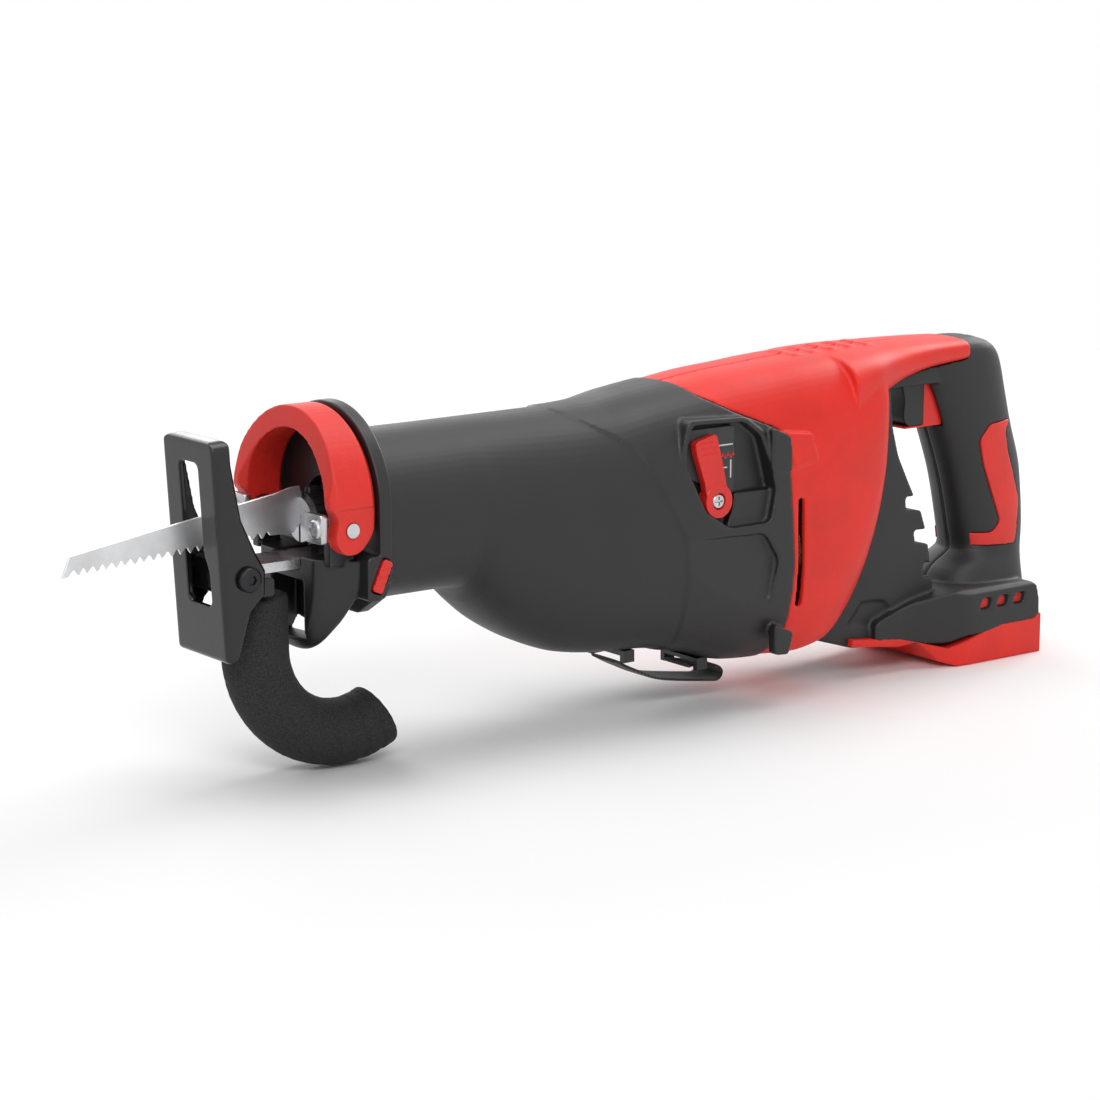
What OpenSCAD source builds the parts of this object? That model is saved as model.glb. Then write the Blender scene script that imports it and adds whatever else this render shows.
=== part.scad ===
// Cordless reciprocating saw, built as an assembly of its real pieces.
// +X runs to the rear handle, the blade points along -X, +Z is up, and the
// side with the stroke lever is -Y. The foot and the front hook stand on Z = 0.

/* [Overall] */
// Height of the stroke axis above the standing surface
axis_h = 106; // [98:1:120]
// Length of the gear housing cover, from the collar to the motor housing
cover_len = 215; // [195:1:260]
// Diameter of the round front barrel
barrel_d = 71; // [68:1:85]
// Width of the motor housing
housing_w = 82; // [78:1:98]
// Length of the motor housing
housing_len = 66; // [62:1:80]
// Wall of the moulded shells
wall = 3; // [2:0.2:3.6]

/* [Drive] */
// Radius of the crank pin's circle, half the stroke
crank_r = 16; // [12:1:18]
// Outer radius of the face gear
gear_r = 30; // [28:1:31]
// Teeth on the face gear, four for each pinion tooth
gear_teeth = 40; // [40:4:40]
// Radius of the plunger rod
plunger_r = 8; // [6:0.5:9]
// Radius of the motor stator
stator_r = 25; // [20:1:28]
// Running clearance on a radius
run_gap = 0.05; // [0.02:0.01:0.1]
// Clearance round parts that are dropped or slid into place
fit_gap = 0.3; // [0.2:0.05:0.5]

/* [Blade and shoe] */
// Free length of the saw blade, from the clamp to its tip
blade_len = 110; // [90:1:150]
// Thickness of the saw blade
blade_t = 1.25; // [0.9:0.05:1.6]
// Distance between blade teeth
tooth_pitch = 4.2; // [2.5:0.1:6]
// Height of the shoe
shoe_h = 90; // [80:1:100]
// Width of the shoe
shoe_w = 40; // [38:1:48]
// Thickness of the shoe plate
shoe_t = 2.5; // [2:0.1:3]
// Diameter of the foam sleeve on the hook
foam_d = 28.5; // [24:0.5:30]
// Bend radius of the hook's centre line
hook_bend = 40.5; // [36:0.5:44]

/* [Handle] */
// Depth of the grip from front to rear
grip_depth = 54; // [48:1:60]
// Width of the grip
grip_w = 36; // [32:1:42]
// Width of the battery foot
foot_w = 66; // [62:1:80]
// Trigger travel
trigger_travel = 6; // [4:1:7]

/* [Hidden] */

$fn = 48;
eps = 0.01;

black = [0.13, 0.13, 0.14];
red = [0.82, 0.10, 0.08];
steel = [0.72, 0.72, 0.74];
cast = [0.62, 0.63, 0.65];
copper = [0.75, 0.42, 0.20];
board_green = [0.10, 0.35, 0.20];
foam_grey = [0.18, 0.18, 0.19];

// Places along the length
split_x = 84;
collar_x = split_x - cover_len;
rear_x = split_x + housing_len;
gear_x = split_x - 104;

// Front end
barrel_r = barrel_d / 2;
barrel_z = axis_h - 1;
collar_t = 6;
collar_r = barrel_r + 4.5;
arch_z = 154 - collar_r + axis_h - 106;
collar_front = collar_x - collar_t;
nose_front = collar_x - 25.5;
nose_bottom = axis_h - 54;
chin_top = axis_h - 13;

// Drive train, stacked up from the motor axis to the plunger
pinion_teeth = gear_teeth / 4;
pinion_pitch_r = 7;
pinion_tip_r = pinion_pitch_r + 1.1;
pinion_root_r = 5.2;
gear_pitch_r = pinion_pitch_r * 4;
motor_z = axis_h - 42;
gear_z = motor_z + pinion_tip_r + 0.4;
gear_t = 7;
gear_tooth_h = 2.6;
roller_r = 6;
pin_r = 4;
roller_h = 8;
yoke_z = gear_z + gear_t + roller_h + 0.5;
yoke_half_x = roller_r + 3.2;
yoke_half_y = crank_r + roller_r + 2.7;
spindle_r = 6;
spindle_bottom = motor_z - 16;
bearing_wall = 5;
bearing_h = 7;
case_r = gear_r + 3;
case_top = axis_h + 15;
case_wall = 2.5;
chamber_x = yoke_half_x + crank_r + 5;
shaft_seat_r = 4.4;
case_front_r = plunger_r + 5;
bulkhead_x = gear_x + 72;
bush_wall = 2.5;
front_bush_x = collar_x + 32;
front_bush_len = 25;
seal_len = 6;
rear_bush_x = gear_x + 38;
rear_bush_len = 16;

// Motor
shaft_r = 3.5;
stator_x = split_x + 18;
stator_len = 26;
core_r = 13;
air_gap = 0.8;
shaft_front = gear_x + gear_pitch_r - 2;
shaft_rear = stator_x + stator_len + 16;
fan_x = split_x + 4;
rear_bearing_x = stator_x + stator_len + 7;

// Blade clamp
clamp_r = 11;
clamp_len = 22;
clamp_rear = collar_x + 3;
clamp_front = clamp_rear - clamp_len;
sleeve_len = 10;
sleeve_wall = 1.6;
blade_lean = 3;
blade_root_h = 19;
blade_tip_h = 8;
blade_tang = 12;
blade_z = axis_h + 4;

// Shoe and hook
pivot_x = collar_x - 56;
pivot_z = axis_h - 17;
pivot_r = 3;
shoe_lean = 3.3;
shoe_front = 12;
shoe_up = shoe_h * 0.63;
slot_w = 13;
slot_top = 9.5;
slot_low = -11;
bar_w = 20;
bar_t = 4;
bar_z = axis_h - 18;
bar_rear = collar_x + 30;
bracket_half = shoe_w / 2 - shoe_t - fit_gap;
rod_r = 4.5;
hook_x = collar_x - 41.5;
hook_z = hook_bend + foam_d / 2;
hook_sweep = 118;
foam_top = bar_z - 9;

// Release bow
bow_r = collar_r - 0.5;
bow_wall = 9;
bow_front = collar_x - 28;
bow_rear = collar_front - 0.4;
bow_pivot_x = collar_x - 18;
bow_pivot_z = axis_h + 1;
bow_leg_r = 10;
bow_pin_r = 3;
ear_inner = 25;
button_x = collar_x - 5.2;
button_z = axis_h - 19;
button_w = 5.2;
button_l = 14;

// Motor housing and handle
top_z = axis_h + 47;
bottom_z = axis_h - 88;
grip_x = rear_x + 84;
bridge_z = axis_h + 28;
switch_x = grip_x - 18;
trigger_x = rear_x + 28;
trigger_z0 = axis_h + 5;
trigger_z1 = axis_h + 33;
trigger_w = 17;
foot_x0 = rear_x + 43;
foot_x1 = rear_x + 100;
foot_h = 20;
rail_half = foot_w / 2 - 9;
lever_x = split_x - 44;
lever_z = axis_h - 8;
lever_len = 30;
cover_half = housing_w / 2;

// Strap
strap_front = split_x - 72;
strap_rear = split_x - 30;
strap_end = split_x - 18;
strap_z = 11.5;
strap_turn = 4.2;
strap_w = 20;
strap_t = 2;

// Sections of the whole body: place, top, bottom, half width, squareness
BODY = [
    [collar_x + 0.3, barrel_z + barrel_r, barrel_z - barrel_r, barrel_r, 2.1],
    [collar_x + 30, barrel_z + barrel_r, barrel_z - barrel_r, barrel_r, 2.1],
    [gear_x - 60, barrel_z + barrel_r, barrel_z - barrel_r, barrel_r, 2.15],
    [gear_x - 52, barrel_z + barrel_r, axis_h - 47, barrel_r + 0.4, 2.2],
    [gear_x - 40, barrel_z + barrel_r, axis_h - 56, barrel_r + 1, 2.3],
    [gear_x - 22, barrel_z + barrel_r, axis_h - 65, barrel_r + 2, 2.4],
    [gear_x - 4, barrel_z + barrel_r, axis_h - 71.5, barrel_r + 2.8, 2.5],
    [gear_x + 14, axis_h + 35, axis_h - 74, cover_half - 1.6, 2.6],
    [gear_x + 34, axis_h + 37.5, axis_h - 75.5, cover_half - 0.8, 2.8],
    [gear_x + 60, axis_h + 41, axis_h - 80, cover_half, 3.0],
    [gear_x + 82, axis_h + 43.5, bottom_z + 1.5, cover_half, 3.2],
    [split_x, axis_h + 45, bottom_z, cover_half, 3.3],
    [split_x + 16, axis_h + 46.2, bottom_z - 1, cover_half, 3.4],
    [rear_x - 36, top_z, bottom_z + 1, cover_half - 0.6, 3.4],
    [rear_x - 26, top_z + 0.4, bottom_z + 10, cover_half - 1.4, 3.3],
    [rear_x - 16, top_z + 0.8, bottom_z + 27, cover_half - 2.6, 3.2],
    [rear_x - 8, top_z + 1, bottom_z + 50, cover_half - 4.4, 3.0],
    [rear_x - wall, top_z + 1, bottom_z + 78, cover_half - 8, 2.8],
    [rear_x, top_z + 1, axis_h + 8, cover_half - 14, 2.6]];

// Side view of the joint line between the black cover and the red housing
JOINT_LINE = [[split_x - 49, 400], [split_x - 49, axis_h + 36], [split_x - 42, axis_h + 35],
    [split_x - 24, axis_h + 27.5], [split_x - 11, axis_h + 19], [split_x - 3, axis_h - 3],
    [split_x, axis_h - 40], [split_x - 1, axis_h - 69], [split_x - 5, axis_h - 84], [split_x - 5, -50]];

// The red bridge from the motor housing over to the top of the grip
BRIDGE = [
    [rear_x - 6, top_z + 0.8, bridge_z + 1, 26, 3],
    [rear_x + 12, top_z + 1, bridge_z + 4, 23, 3],
    [rear_x + 36, top_z + 0.8, bridge_z + 8, 20, 3],
    [rear_x + 58, top_z, bridge_z + 12, 18, 3]];

// Sections of the grip: height, front, rear, half width, squareness
GRIP = [
    [axis_h - 72, rear_x + 40, grip_x + 22, 26, 3.2],
    [axis_h - 64, rear_x + 50, grip_x + 23, 22, 2.8],
    [axis_h - 56, grip_x - grip_depth / 2 + 13, grip_x + 25, grip_w / 2, 2.4],
    [axis_h - 46, grip_x - grip_depth / 2 + 9, grip_x + grip_depth / 2 - 1, grip_w / 2, 2.3],
    [axis_h - 20, grip_x - grip_depth / 2 - 1, grip_x + grip_depth / 2 - 3, grip_w / 2, 2.3],
    [axis_h + 4, grip_x - grip_depth / 2 - 11, grip_x + grip_depth / 2 - 10, grip_w / 2, 2.3],
    [axis_h + 22, grip_x - grip_depth / 2 - 18, grip_x + grip_depth / 2 - 15, grip_w / 2, 2.4],
    [axis_h + 36, grip_x - grip_depth / 2 - 20, grip_x + grip_depth / 2 - 19, grip_w / 2 - 1, 2.6],
    [axis_h + 44, grip_x - grip_depth / 2 - 10, grip_x + grip_depth / 2 - 26, grip_w / 2 - 5, 2.8]];

function power(v, n) = sign(v) * pow(abs(v), 2 / n);

function ring_x(s, inset, m) = [for (i = [0 : m - 1]) let (a = 360 * i / m)
    [s[0],
    (s[3] - inset) * power(cos(a), s[4]),
    (s[1] + s[2]) / 2 + ((s[1] - s[2]) / 2 - inset) * power(sin(a), s[4])]];

function ring_z(s, inset, m) = [for (i = [0 : m - 1]) let (a = 360 * i / m)
    [(s[1] + s[2]) / 2 + ((s[2] - s[1]) / 2 - inset) * power(cos(a), s[4]),
    (s[3] - inset) * power(sin(a), s[4]),
    s[0]]];

// A closed skin over a stack of rings that all have m points
module skin(rings, m) {
    last = len(rings) - 1;
    points = [for (r = rings) for (p = r) p];
    sides = [for (k = [0 : last - 1]) for (i = [0 : m - 1]) let (j = (i + 1) % m)
        [k * m + i, (k + 1) * m + i, (k + 1) * m + j, k * m + j]];
    start = [[for (i = [0 : m - 1]) i]];
    end = [[for (i = [m - 1 : -1 : 0]) last * m + i]];
    polyhedron(points = points, faces = concat(sides, start, end));
}

// Height of the body's underside at a place
function under(x) = lookup(x, [for (s = BODY) [s[0], s[2]]]);

module loft_x(sections, inset = 0, m = 28) skin([for (s = sections) ring_x(s, inset, m)], m);
module loft_z(sections, inset = 0, m = 24) skin([for (s = sections) ring_z(s, inset, m)], m);

module rod_x(r, x0, x1, y = 0, z = 0) translate([x0, y, z]) rotate([0, 90, 0]) cylinder(r = r, h = x1 - x0);
module rod_y(r, y0, y1, x = 0, z = 0) translate([x, y0, z]) rotate([-90, 0, 0]) cylinder(r = r, h = y1 - y0);
module rod_z(r, z0, z1, x = 0, y = 0) translate([x, y, z0]) cylinder(r = r, h = z1 - z0);
module box(low, high) translate(low) cube(high - low);

// Half of a shell: the -Y side is the left one, seen from behind the grip
module half(side) {
    big = 400;
    intersection() {
        children();
        translate([-big, side < 0 ? -big : fit_gap / 2, -big]) cube([2 * big, big - fit_gap / 2, 2 * big]);
    }
}

// ---- gear housing ----

// The body's outside, or its inside when hollow, open at the collar
module body_solid() loft_x(BODY);
module body_hollow(inset) {
    first = BODY[0];
    last = len(BODY) - 1;
    loft_x(concat([[first[0] - 2, first[1], first[2], first[3], first[4]]],
        [for (k = [0 : last - 1]) BODY[k]]), inset);
}

// Everything in front of the joint line, drawn from the side
module front_region(gap) {
    along_y(-100, 100)
        translate([-gap, 0]) polygon(concat(JOINT_LINE, [[collar_x - 100, -50], [collar_x - 100, 400]]));
}

// Pocket for the stroke lever, in the side of the cover
module lever_pocket(grow = 0) {
    box([lever_x - 18 - grow, -cover_half - 1, lever_z - 12 - grow],
        [lever_x + 31 + grow, -cover_half + 7 + grow, lever_z + 33 + grow]);
}

// Moulded soft cover over the gear case, with a pocket for the stroke lever
module gear_cover() {
    color(black) difference() {
        intersection() {
            body_solid();
            front_region(fit_gap / 2);
        }
        body_hollow(wall);
        lever_pocket();
    }
}

module case_body() {
    rod_x(case_front_r, collar_x + 24, gear_x - 20, z = axis_h);
    rod_x(case_front_r, gear_x + 20, bulkhead_x, z = axis_h);
    rod_z(case_r, gear_z - case_wall - gear_tooth_h, gear_z + gear_t + 9, gear_x);
    rod_z(spindle_r + bearing_wall + 1, spindle_bottom - 2, gear_z - 2, gear_x);
    box([gear_x - chamber_x, -yoke_half_y - 3.3, gear_z + gear_t - 1],
        [gear_x + chamber_x, yoke_half_y + 3.3, case_top]);
    rod_x(14, gear_x + 22, bulkhead_x, z = motor_z);
    rod_y(7.5, -31, -case_front_r + 1, lever_x, lever_z);
    intersection() {
        body_hollow(wall + fit_gap);
        box([bulkhead_x - 5, -100, 0], [bulkhead_x, 100, 300]);
    }
    // Mounting flange against the collar, and the arms that reach back to the tube
    rod_x(barrel_r - wall - fit_gap, collar_x + fit_gap, collar_x + 6, z = barrel_z);
    for (s = [-1, 1])
        box([collar_x + 5, s * 22 - 3, axis_h - 6], [gear_x - chamber_x + 4, s * 22 + 3, axis_h + 6]);
    box([collar_x + 24, -23, axis_h - 3], [gear_x - chamber_x + 4, 23, axis_h + 3]);
}

// Cast gear case: front flange and tube, crank chamber, spindle boss and rear bulkhead
module gear_case() {
    color(cast) difference() {
        case_body();
        rod_x(plunger_r + bush_wall, collar_x + 20, bulkhead_x + 1, z = axis_h);
        rod_x(clamp_r + 6, collar_x - 1, collar_x + 20, z = axis_h);
        rod_z(gear_r + 1.5, gear_z - gear_tooth_h - 0.6, gear_z + gear_t + 7, gear_x);
        box([gear_x - chamber_x + 2.5, -yoke_half_y - 0.8, gear_z + gear_t + 0.4],
            [gear_x + chamber_x - 2.5, yoke_half_y + 0.8, case_top - case_wall]);
        rod_z(spindle_r + bearing_wall, spindle_bottom - eps, gear_z, gear_x);
        rod_x(pinion_tip_r + 1, gear_x + 18, bulkhead_x - 9, z = motor_z);
        rod_x(10, bulkhead_x - 9.5, bulkhead_x + 1, z = motor_z);
        rod_y(shaft_seat_r + run_gap, -40, -16, lever_x, lever_z);
        rod_y(shaft_seat_r + 1, -16.5, -case_front_r - 0.2, lever_x, lever_z);
        box([collar_x - 20, -bar_w / 2 - 1, bar_z - 1], [bar_rear + 4, bar_w / 2 + 1, bar_z + bar_t + 0.7]);
        lever_pocket(1);
    }
}

module arch(r, y_half, z0) {
    intersection() {
        translate([0, arch_z]) circle(r = r, $fn = 96);
        translate([-r, arch_z - eps]) square([2 * r, r + 1]);
    }
    translate([-y_half, z0]) square([2 * y_half, arch_z - z0]);
}

// 2D outlines below are drawn as (Y, Z) and stood up along X
module along_x(x0, x1) translate([x0, 0, 0]) rotate([90, 0, 90]) linear_extrude(x1 - x0) children();
// 2D outlines drawn as (X, Z) and stood up along Y
module along_y(y0, y1) translate([0, y1, 0]) rotate([90, 0, 0]) linear_extrude(y1 - y0) children();

// Black front collar: arch-shaped flange, the nose under it, the ears that carry the
// bow's pins and the channel for the shoe bar
module nose_collar() {
    color(black) difference() {
        union() {
            along_x(collar_front, collar_x) {
                arch(collar_r, collar_r, axis_h - 24);
                polygon([[-collar_r, axis_h - 24], [-28, nose_bottom + 14], [-18, nose_bottom],
                    [18, nose_bottom], [28, nose_bottom + 14], [collar_r, axis_h - 24]]);
            }
            along_x(nose_front, collar_front + eps)
                polygon([[-29, chin_top], [-27, nose_bottom + 18], [-16, nose_bottom], [16, nose_bottom],
                    [27, nose_bottom + 18], [29, chin_top]]);
            box([collar_front - 6, -collar_r, button_z - 10], [collar_front + eps, -26, axis_h - 10.5]);
            for (s = [-1, 1])
                along_y(s < 0 ? -bow_r + bow_wall + 0.7 : ear_inner,
                    s < 0 ? -ear_inner : bow_r - bow_wall - 0.7) {
                    translate([bow_pivot_x, bow_pivot_z]) circle(r = 5.5);
                    translate([bow_pivot_x - 5.5, chin_top - 1]) square([11, bow_pivot_z - chin_top + 1]);
                }
        }
        rod_x(clamp_r + 6, nose_front - 1, collar_x + 1, z = axis_h);
        box([nose_front - 1, -bar_w / 2 - fit_gap, bar_z - fit_gap],
            [collar_x + 1, bar_w / 2 + fit_gap, bar_z + bar_t + fit_gap]);
        rod_y(bow_pin_r, -60, 60, bow_pivot_x, bow_pivot_z);
        translate([button_x, -collar_r - 1, button_z]) rotate([0, 25, 0])
            translate([-button_w / 2 - 0.3, 0, -button_l / 2 - 0.3])
                cube([button_w + 0.6, 11.5, button_l + 0.6]);
    }
}

// Red slanted button that frees the shoe bar, pressed in towards the bar
module shoe_release_button() {
    color(red) translate([button_x, -collar_r - 0.5, button_z]) rotate([0, 25, 0])
        translate([-button_w / 2, 0, -button_l / 2]) cube([button_w, 6.5, button_l]);
}

// ---- red motor housing ----

module rib_slab(x0, x1) {
    intersection() {
        body_hollow(wall - 0.5);
        box([x0, -100, 0], [x1, 100, 300]);
    }
}

module motor_housing() {
    difference() {
        union() {
            difference() {
                union() {
                    difference() {
                        body_solid();
                        front_region(-fit_gap / 2);
                    }
                    loft_x(BRIDGE);
                }
                body_hollow(wall);
                loft_x([BRIDGE[0], BRIDGE[1], BRIDGE[2]], wall);
            }
            rib_slab(stator_x + 2, stator_x + 5);
            rib_slab(stator_x + stator_len - 6, stator_x + stator_len - 3);
        }
        rod_x(stator_r + fit_gap, split_x - 1, stator_x + stator_len + 1, z = motor_z);
        handle_solid(fit_gap);
        // Tall air slot in each side
        for (s = [-1, 1])
            box([split_x + 2.5, s < 0 ? -100 : 20, axis_h - 62], [split_x + 6.5, s < 0 ? -20 : 100,
                axis_h - 12]);
        screw_holes();
    }
}

module motor_housing_left() color(red) half(-1) motor_housing();
module motor_housing_right() color(red) half(1) motor_housing();

// ---- handle ----

// Side view of the black web behind the motor, with three cable notches
module web_outline() {
    difference() {
        polygon([[rear_x - 36, 23], [rear_x - 10, 14], [foot_x0 - 4, 8], [foot_x0 + 4, 30],
            [rear_x + 48, axis_h - 58], [rear_x + 41, axis_h - 40], [rear_x + 33, axis_h - 24],
            [rear_x + 22, axis_h - 4], [rear_x + 15, axis_h + 12], [rear_x + 13, bridge_z + 3],
            [rear_x - 7, bridge_z + 3], [rear_x - 9, axis_h - 10], [rear_x - 14, axis_h - 46],
            [rear_x - 20, axis_h - 64], [rear_x - 26, axis_h - 74]]);
        for (k = [0 : 2])
            translate([rear_x + 34 + 6.2 * k, axis_h - 29 - 16.5 * k]) rotate(-18)
                square([14, 4.6]);
    }
}

// Black handle: web, foot block, grip and the frame round the trigger
module handle_solid(grow = 0) {
    along_y(-19 - grow, 19 + grow) web_outline();
    loft_z(GRIP, -grow);
    hull() {
        box([foot_x0 - 40, -24 - grow, 12], [foot_x0 - 38, 24 + grow, 27]);
        box([foot_x0 + 2, -foot_w / 2 - grow, foot_h - 6], [foot_x1 - 2, foot_w / 2 + grow, foot_h + 8]);
        box([foot_x0 + 8, -22 - grow, foot_h + 10], [foot_x1 - 4, 22 + grow, axis_h - 70]);
    }
    box([rear_x + 8, -14 - grow, bridge_z - 1], [grip_x - 20, 14 + grow, bridge_z + 13]);
}

module handle_shell() {
    // Shelf inside the grip that the switch sits on
    box([switch_x + 2, -grip_w / 2 + 1.5, trigger_z0 - 3], [switch_x + 17, grip_w / 2 - 1.5,
        trigger_z0 + 1 - fit_gap]);
    difference() {
        handle_solid();
        // Hollows of the web, grip and foot, and the seat of the rear bearing
        box([rear_x - 4, -16, axis_h - 80], [rear_x + 15, 16, axis_h - 50]);
        rod_x(11.1, stator_x, rear_bearing_x + 6.1, z = motor_z);
        rod_x(shaft_r + 1, stator_x, shaft_rear + 1, z = motor_z);
        rod_x(stator_r - 2, stator_x, stator_x + stator_len + 6, z = motor_z);
        loft_z([for (k = [2 : 7]) GRIP[k]], wall);
        box([foot_x0 + 10, -26, foot_h + 1], [foot_x1 - 8, 26, foot_h + 7.5]);
        rod_z(8, foot_h, axis_h - 52, grip_x + 2);
        box([trigger_x - 8, -trigger_w / 2 - fit_gap, trigger_z0 + 1 - fit_gap],
            [switch_x + 2, trigger_w / 2 + fit_gap, trigger_z1 - 1 + fit_gap]);
        loft_x(BRIDGE, -fit_gap);
        battery_foot_solid(fit_gap);
        inlay_solid(-1, fit_gap / 2);
        inlay_solid(1, fit_gap / 2);
        screw_holes();
        for (k = [0 : 2])
            translate([foot_x0 + 21 + 9.5 * k, 0, foot_h + 3.5]) rotate([0, -20, 0])
                cube([5, 100, 5], center = true);
    }
}

module handle_shell_left() color(black) half(-1) handle_shell();
module handle_shell_right() color(black) half(1) handle_shell();

// Red moulded band let into each side of the grip
module inlay_solid(side, grow) {
    intersection() {
        loft_z(GRIP, -0.4 - grow);
        translate([0, side < 0 ? -60 : 12 - grow, 0]) cube([400, 48 + grow, 300]);
        along_y(-60, 60) offset(delta = grow) polygon([
            [grip_x - 21, axis_h - 52], [grip_x + 25, axis_h - 52], [grip_x + 27, axis_h - 44],
            [grip_x + 20, axis_h + 14], [grip_x + 4, axis_h + 8], [grip_x + 12, axis_h - 44],
            [grip_x - 22, axis_h - 45]]);
    }
}

module grip_inlay(side) {
    color(red) difference() {
        inlay_solid(side, -fit_gap / 2);
        loft_z([for (k = [2 : 8]) GRIP[k]], 1.8);
    }
}
module grip_inlay_left() grip_inlay(-1);
module grip_inlay_right() grip_inlay(1);

// Red foot with the two rails that a battery pack slides on
module battery_foot_solid(grow = 0) {
    hull() {
        box([foot_x0 - grow, -foot_w / 2 - grow, -grow], [foot_x1 + grow, foot_w / 2 + grow, 10]);
        box([foot_x0 + 8, -foot_w / 2 - grow, 0], [foot_x1 + grow, foot_w / 2 + grow, foot_h - 2 + grow]);
    }
    hull() {
        box([foot_x0 - 2, -26 - grow, 2], [foot_x0 + 2, 26 + grow, 9 + grow]);
        box([foot_x0 - 56, -22 - grow, 15 - grow], [foot_x0 - 54, 22 + grow, 20 + grow]);
    }
}

module battery_foot() {
    color(red) difference() {
        battery_foot_solid();
        box([foot_x0 + 6, -rail_half, -1], [foot_x1 + 1, rail_half, 13]);
        for (s = [-1, 1])
            translate([0, s < 0 ? -rail_half - 4 : rail_half - 1, 0])
                box([foot_x0 + 10, 0, 5], [foot_x1 + 1, 5, 9]);
    }
}

module terminal_block() {
    color(black) box([foot_x0 + 14, -14, 7], [foot_x0 + 34, 14, 13 - eps]);
}

// Four blade contacts that point back towards the pack
module battery_contacts() {
    color(copper) for (y = [-10.5, -3.5, 3.5, 10.5])
        box([foot_x0 + 34, y - 0.6, 8], [foot_x0 + 46, y + 0.6, 12]);
}

screw_places = [[rear_x - 30, axis_h + 36], [rear_x - 44, axis_h - 82], [grip_x - 8, axis_h - 62],
    [foot_x0 - 20, axis_h - 66], [grip_x - 14, axis_h + 38]];
module screw_holes() {
    for (p = screw_places) {
        rod_y(2.2, -60, 60, p[0], p[1]);
        rod_y(4.4, 12, 60, p[0], p[1]);
    }
}

// Screws that hold the two halves of the housing together
module housing_screws() {
    color(steel) for (p = screw_places) {
        rod_y(2, -11, 12, p[0], p[1]);
        difference() {
            rod_y(4, 12, 15, p[0], p[1]);
            rod_y(1.6, 13.4, 16, p[0], p[1]);
        }
    }
}

// ---- stroke setting ----

module stroke_dial() {
    color(black) box([lever_x - 17, -cover_half + 5, lever_z + 10], [lever_x + 12, -cover_half + 6.6,
        lever_z + 33]);
}

// Red lever on the side that sets the stroke action
module stroke_lever() {
    y0 = -cover_half + 0.4;
    color(red) difference() {
        union() {
            rod_y(7, y0, y0 + 6.2, lever_x, lever_z);
            translate([lever_x, y0, lever_z]) rotate([0, -14, 0])
                translate([-5, 0, 0]) cube([10, 4.4, lever_len]);
        }
        rod_y(3.6, y0 - 1, y0 + 2.4, lever_x, lever_z);
        rod_y(2, y0, y0 + 9, lever_x, lever_z);
    }
}

module stroke_lever_screw() {
    y0 = -cover_half + 0.4;
    color(steel) {
        rod_y(3.4, y0 + 0.3, y0 + 2.4, lever_x, lever_z);
        rod_y(1.9, y0 + 2.3, y0 + 8, lever_x, lever_z);
    }
}

// Eccentric shaft that the lever turns inside the gear case
module stroke_shaft() {
    y0 = -cover_half + 6.8;
    color(steel) difference() {
        union() {
            rod_y(shaft_seat_r, y0, -16, lever_x, lever_z);
            rod_y(2.2, -16.01, -case_front_r - 0.4, lever_x + 1.8, lever_z);
        }
        rod_y(2, y0 - 1, y0 + 4, lever_x, lever_z);
    }
}

// ---- strap ----

// Side view of the strap's loop, without the hole in it
module strap_outline(grow) {
    for (end = [[strap_front - 4, under(strap_front + 3) - 3.5], [strap_rear - 5, under(strap_rear + 3)
        - 3.5]])
        hull() {
            translate(end) circle(r = strap_t / 2 + grow, $fn = 24);
            translate([strap_end, strap_z]) circle(r = strap_turn + grow, $fn = 24);
        }
}

// Two small eyes under the body that hold the ends of the strap
module strap_anchor() {
    color(black) difference() {
        for (x = [strap_front, strap_rear])
            box([x - 3, -strap_w / 2 - 3, under(x + 3) - 5.5], [x + 3, strap_w / 2 + 3, under(x + 3) - 0.1]);
        along_y(-strap_w / 2 - 0.3, strap_w / 2 + 0.3) strap_outline(0.2);
    }
}

// Webbing strap that hangs in a flat loop from its eyes
module strap() {
    color(black) along_y(-strap_w / 2, strap_w / 2) difference() {
        strap_outline(0);
        hull() {
            translate([strap_front + 22, under(strap_front + 3) - 11]) circle(r = 0.4, $fn = 12);
            translate([strap_end, strap_z]) circle(r = strap_turn - strap_t, $fn = 24);
            translate([strap_rear + 2, under(strap_rear + 3) - 6.5]) circle(r = 0.4, $fn = 12);
        }
    }
}

// ---- motor and drive ----

module motor_stator() {
    color(steel) difference() {
        rod_x(stator_r, stator_x, stator_x + stator_len, z = motor_z);
        rod_x(core_r + air_gap, stator_x - 1, stator_x + stator_len + 1, z = motor_z);
    }
}

// Copper end turns of the stator coils
module stator_windings() {
    color(copper) for (x = [stator_x - 5, stator_x + stator_len])
        difference() {
            rod_x(stator_r - 4, x, x + 5, z = motor_z);
            rod_x(core_r + 2.5, x - 1, x + 6, z = motor_z);
        }
}

module control_board() {
    color(board_green) box([foot_x0 + 12, -24, foot_h + 1.2], [foot_x1 - 10, 24, foot_h + 2.8]);
}

module trigger_switch() {
    color(black) box([switch_x, -9, trigger_z0 + 1], [switch_x + 18, 9, trigger_z1 - 4]);
}

module ball_bearing_x(x, bore_r, outer_r, w) {
    color(steel) difference() {
        rod_x(outer_r, x, x + w, z = motor_z);
        rod_x(bore_r, x - 1, x + w + 1, z = motor_z);
    }
}
module rotor_bearing_front() ball_bearing_x(bulkhead_x - 8, shaft_r + run_gap, 10, 7);
module rotor_bearing_rear() ball_bearing_x(rear_bearing_x, shaft_r + run_gap, 11, 6);

module ball_bearing_z(z) {
    color(steel) difference() {
        rod_z(spindle_r + bearing_wall, z, z + bearing_h, gear_x);
        rod_z(spindle_r + run_gap, z - 1, z + bearing_h + 1, gear_x);
    }
}
module spindle_bearing_lower() ball_bearing_z(spindle_bottom);
module spindle_bearing_upper() ball_bearing_z(motor_z - 6);

module rotor_shaft() {
    color(steel) rod_x(shaft_r, shaft_front, shaft_rear, z = motor_z);
}

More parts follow.
